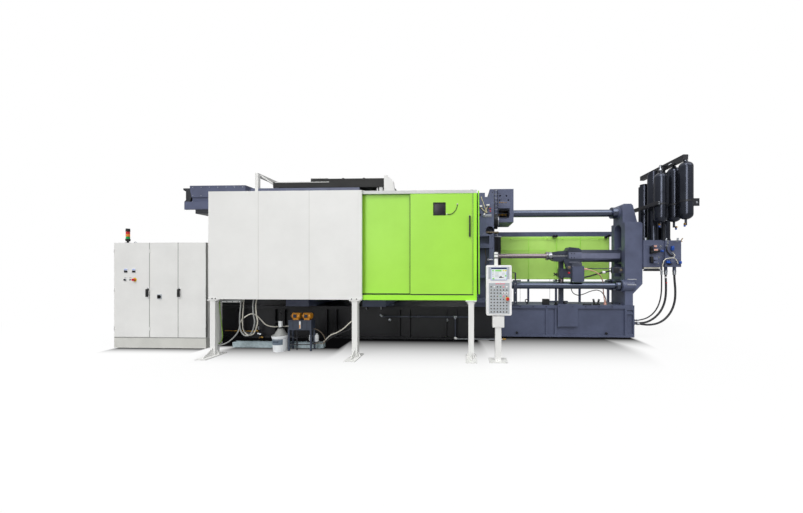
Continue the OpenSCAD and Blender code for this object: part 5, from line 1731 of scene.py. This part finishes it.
floor_mesh = bpy.data.meshes.new("hall_floor")
corner = FLOOR_REACH * np.array([[-1, -1, 0], [1, -1, 0], [1, 1, 0], [-1, 1, 0]], float)
floor_mesh.from_pydata(corner.tolist(), [], [[0, 1, 2, 3]])
floor = bpy.data.objects.new("hall_floor", floor_mesh)
bpy.context.scene.collection.objects.link(floor)

material, tree, out = new_material("pale_sealed_floor")
rays = add(tree, "ShaderNodeLightPath")
seen = rays.outputs["Is Camera Ray"]
place = add(tree, "ShaderNodeTexCoord").outputs["Object"]


def painted_shadow(x_low, x_high, y_front, y_rear, forwards, sideways):
    """The share of painted shadow over a stretch of floor, which is one inside it. Outside it falls
    to nothing: how far a point lies past each edge, over that edge's fade."""
    middle = ((x_low + x_high) / 2, (y_front + y_rear) / 2, 0)
    reach = ((x_high - x_low) / 2, (y_rear - y_front) / 2, 1)
    fade = (sideways, forwards, 1)
    away = add(tree, "ShaderNodeVectorMath", {"operation": "SUBTRACT", 1: middle}, {0: place}).outputs[0]
    away = add(tree, "ShaderNodeVectorMath", {"operation": "ABSOLUTE"}, {0: away}).outputs[0]
    away = add(tree, "ShaderNodeVectorMath", {"operation": "SUBTRACT", 1: reach}, {0: away}).outputs[0]
    away = add(tree, "ShaderNodeVectorMath", {"operation": "MAXIMUM", 1: (0, 0, 0)}, {0: away}).outputs[0]
    away = add(tree, "ShaderNodeVectorMath", {"operation": "DIVIDE", 1: fade}, {0: away}).outputs[0]
    away = add(tree, "ShaderNodeVectorMath", {"operation": "LENGTH"}, {0: away}).outputs["Value"]
    left = add(
        tree, "ShaderNodeMapRange",
        {"From Min": 0.0, "From Max": 1.0, "To Min": 1.0, "To Max": 0.0},
        {"Value": away},
    ).outputs["Result"]
    return add(tree, "ShaderNodeMath", {"operation": "POWER", 1: 2.0}, {0: left}).outputs[0]


shadow_share = painted_shadow(*PAINTED_SHADOWS[0])
for stretch in PAINTED_SHADOWS[1:]:
    shadow_share = add(tree, "ShaderNodeMath", {"operation": "MAXIMUM"}, {0: shadow_share, 1: painted_shadow(*stretch)}).outputs[0]
tint = add(
    tree, "ShaderNodeMix",
    {"data_type": "RGBA", 6: linear(FLOOR_COLOUR), 7: linear(SHADOW_COLOUR)}, {0: shadow_share},
).outputs[2]
distance = add(tree, "ShaderNodeVectorMath", {"operation": "LENGTH"}, {0: place}).outputs["Value"]
far = add(
    tree, "ShaderNodeMapRange",
    {"From Min": 7.0, "From Max": 12.0, "To Min": 0.0, "To Max": 1.0, "interpolation_type": "SMOOTHSTEP"},
    {"Value": distance},
).outputs["Result"]
matt = add(tree, "ShaderNodeBsdfDiffuse", {}, {"Color": tint})
dull = add(tree, "ShaderNodeBsdfDiffuse", {"Color": linear("#9A9A9A")})
glow = add(tree, "ShaderNodeEmission", {"Strength": FLOOR_GLOW}, {"Color": tint})
near = add(tree, "ShaderNodeMixShader", {"Fac": GLOW_SHARE}, {1: matt.outputs[0], 2: glow.outputs[0]})
white = add(tree, "ShaderNodeEmission", {"Color": (1, 1, 1, 1), "Strength": 1.0})
graded = add(tree, "ShaderNodeMixShader", {}, {0: far, 1: near.outputs[0], 2: white.outputs[0]})
lit = add(tree, "ShaderNodeMixShader", {}, {0: seen, 1: dull.outputs[0], 2: graded.outputs[0]})
tree.links.new(lit.outputs[0], out.inputs[0])
floor_mesh.materials.append(material)

# %% World
world = bpy.data.worlds.new("bright_hall")
bpy.context.scene.world = world
world.use_nodes = True
tree = world.node_tree
tree.nodes.clear()
out = add(tree, "ShaderNodeOutputWorld")
rays = add(tree, "ShaderNodeLightPath")
seen = add(
    tree, "ShaderNodeMath", {"operation": "MAXIMUM"},
    {0: rays.outputs["Is Camera Ray"], 1: rays.outputs["Is Transmission Ray"]},
).outputs[0]
rise = add(tree, "ShaderNodeSeparateXYZ", {}, {0: add(tree, "ShaderNodeTexCoord").outputs["Generated"]})
sky = add(
    tree, "ShaderNodeMapRange",
    {"From Min": 0.0, "From Max": 0.8, "To Min": 0.18, "To Max": 0.95}, {"Value": rise.outputs["Z"]},
).outputs["Result"]
plain = add(tree, "ShaderNodeBackground", {"Color": (1, 1, 1, 1)}, {"Strength": sky})
bright = add(tree, "ShaderNodeBackground", {"Color": (1, 1, 1, 1), "Strength": 1.0})
mixed = add(tree, "ShaderNodeMixShader", {}, {0: seen, 1: plain.outputs[0], 2: bright.outputs[0]})
tree.links.new(mixed.outputs[0], out.inputs[0])

# %% Lamps
def soft_sun(name, turn, rise, strength, width):
    """A sun lamp that shines from a compass turn and a rise above the horizon, both in degrees,
    as wide as a soft box."""
    lamp = bpy.data.lights.new(name, "SUN")
    lamp.energy = strength
    lamp.angle = math.radians(width)
    made = bpy.data.objects.new(name, lamp)
    made.rotation_euler = (math.radians(90 - rise), 0, math.radians(turn))
    bpy.context.scene.collection.objects.link(made)


soft_sun("front_left_soft_box", -24, 52, 1.26, 30)
soft_sun("front_right_soft_box", 38, 40, 0.66, 40)
soft_sun("low_window_light", -20, 13, 0.55, 22)
bpy.context.scene.view_settings.view_transform = "Standard"
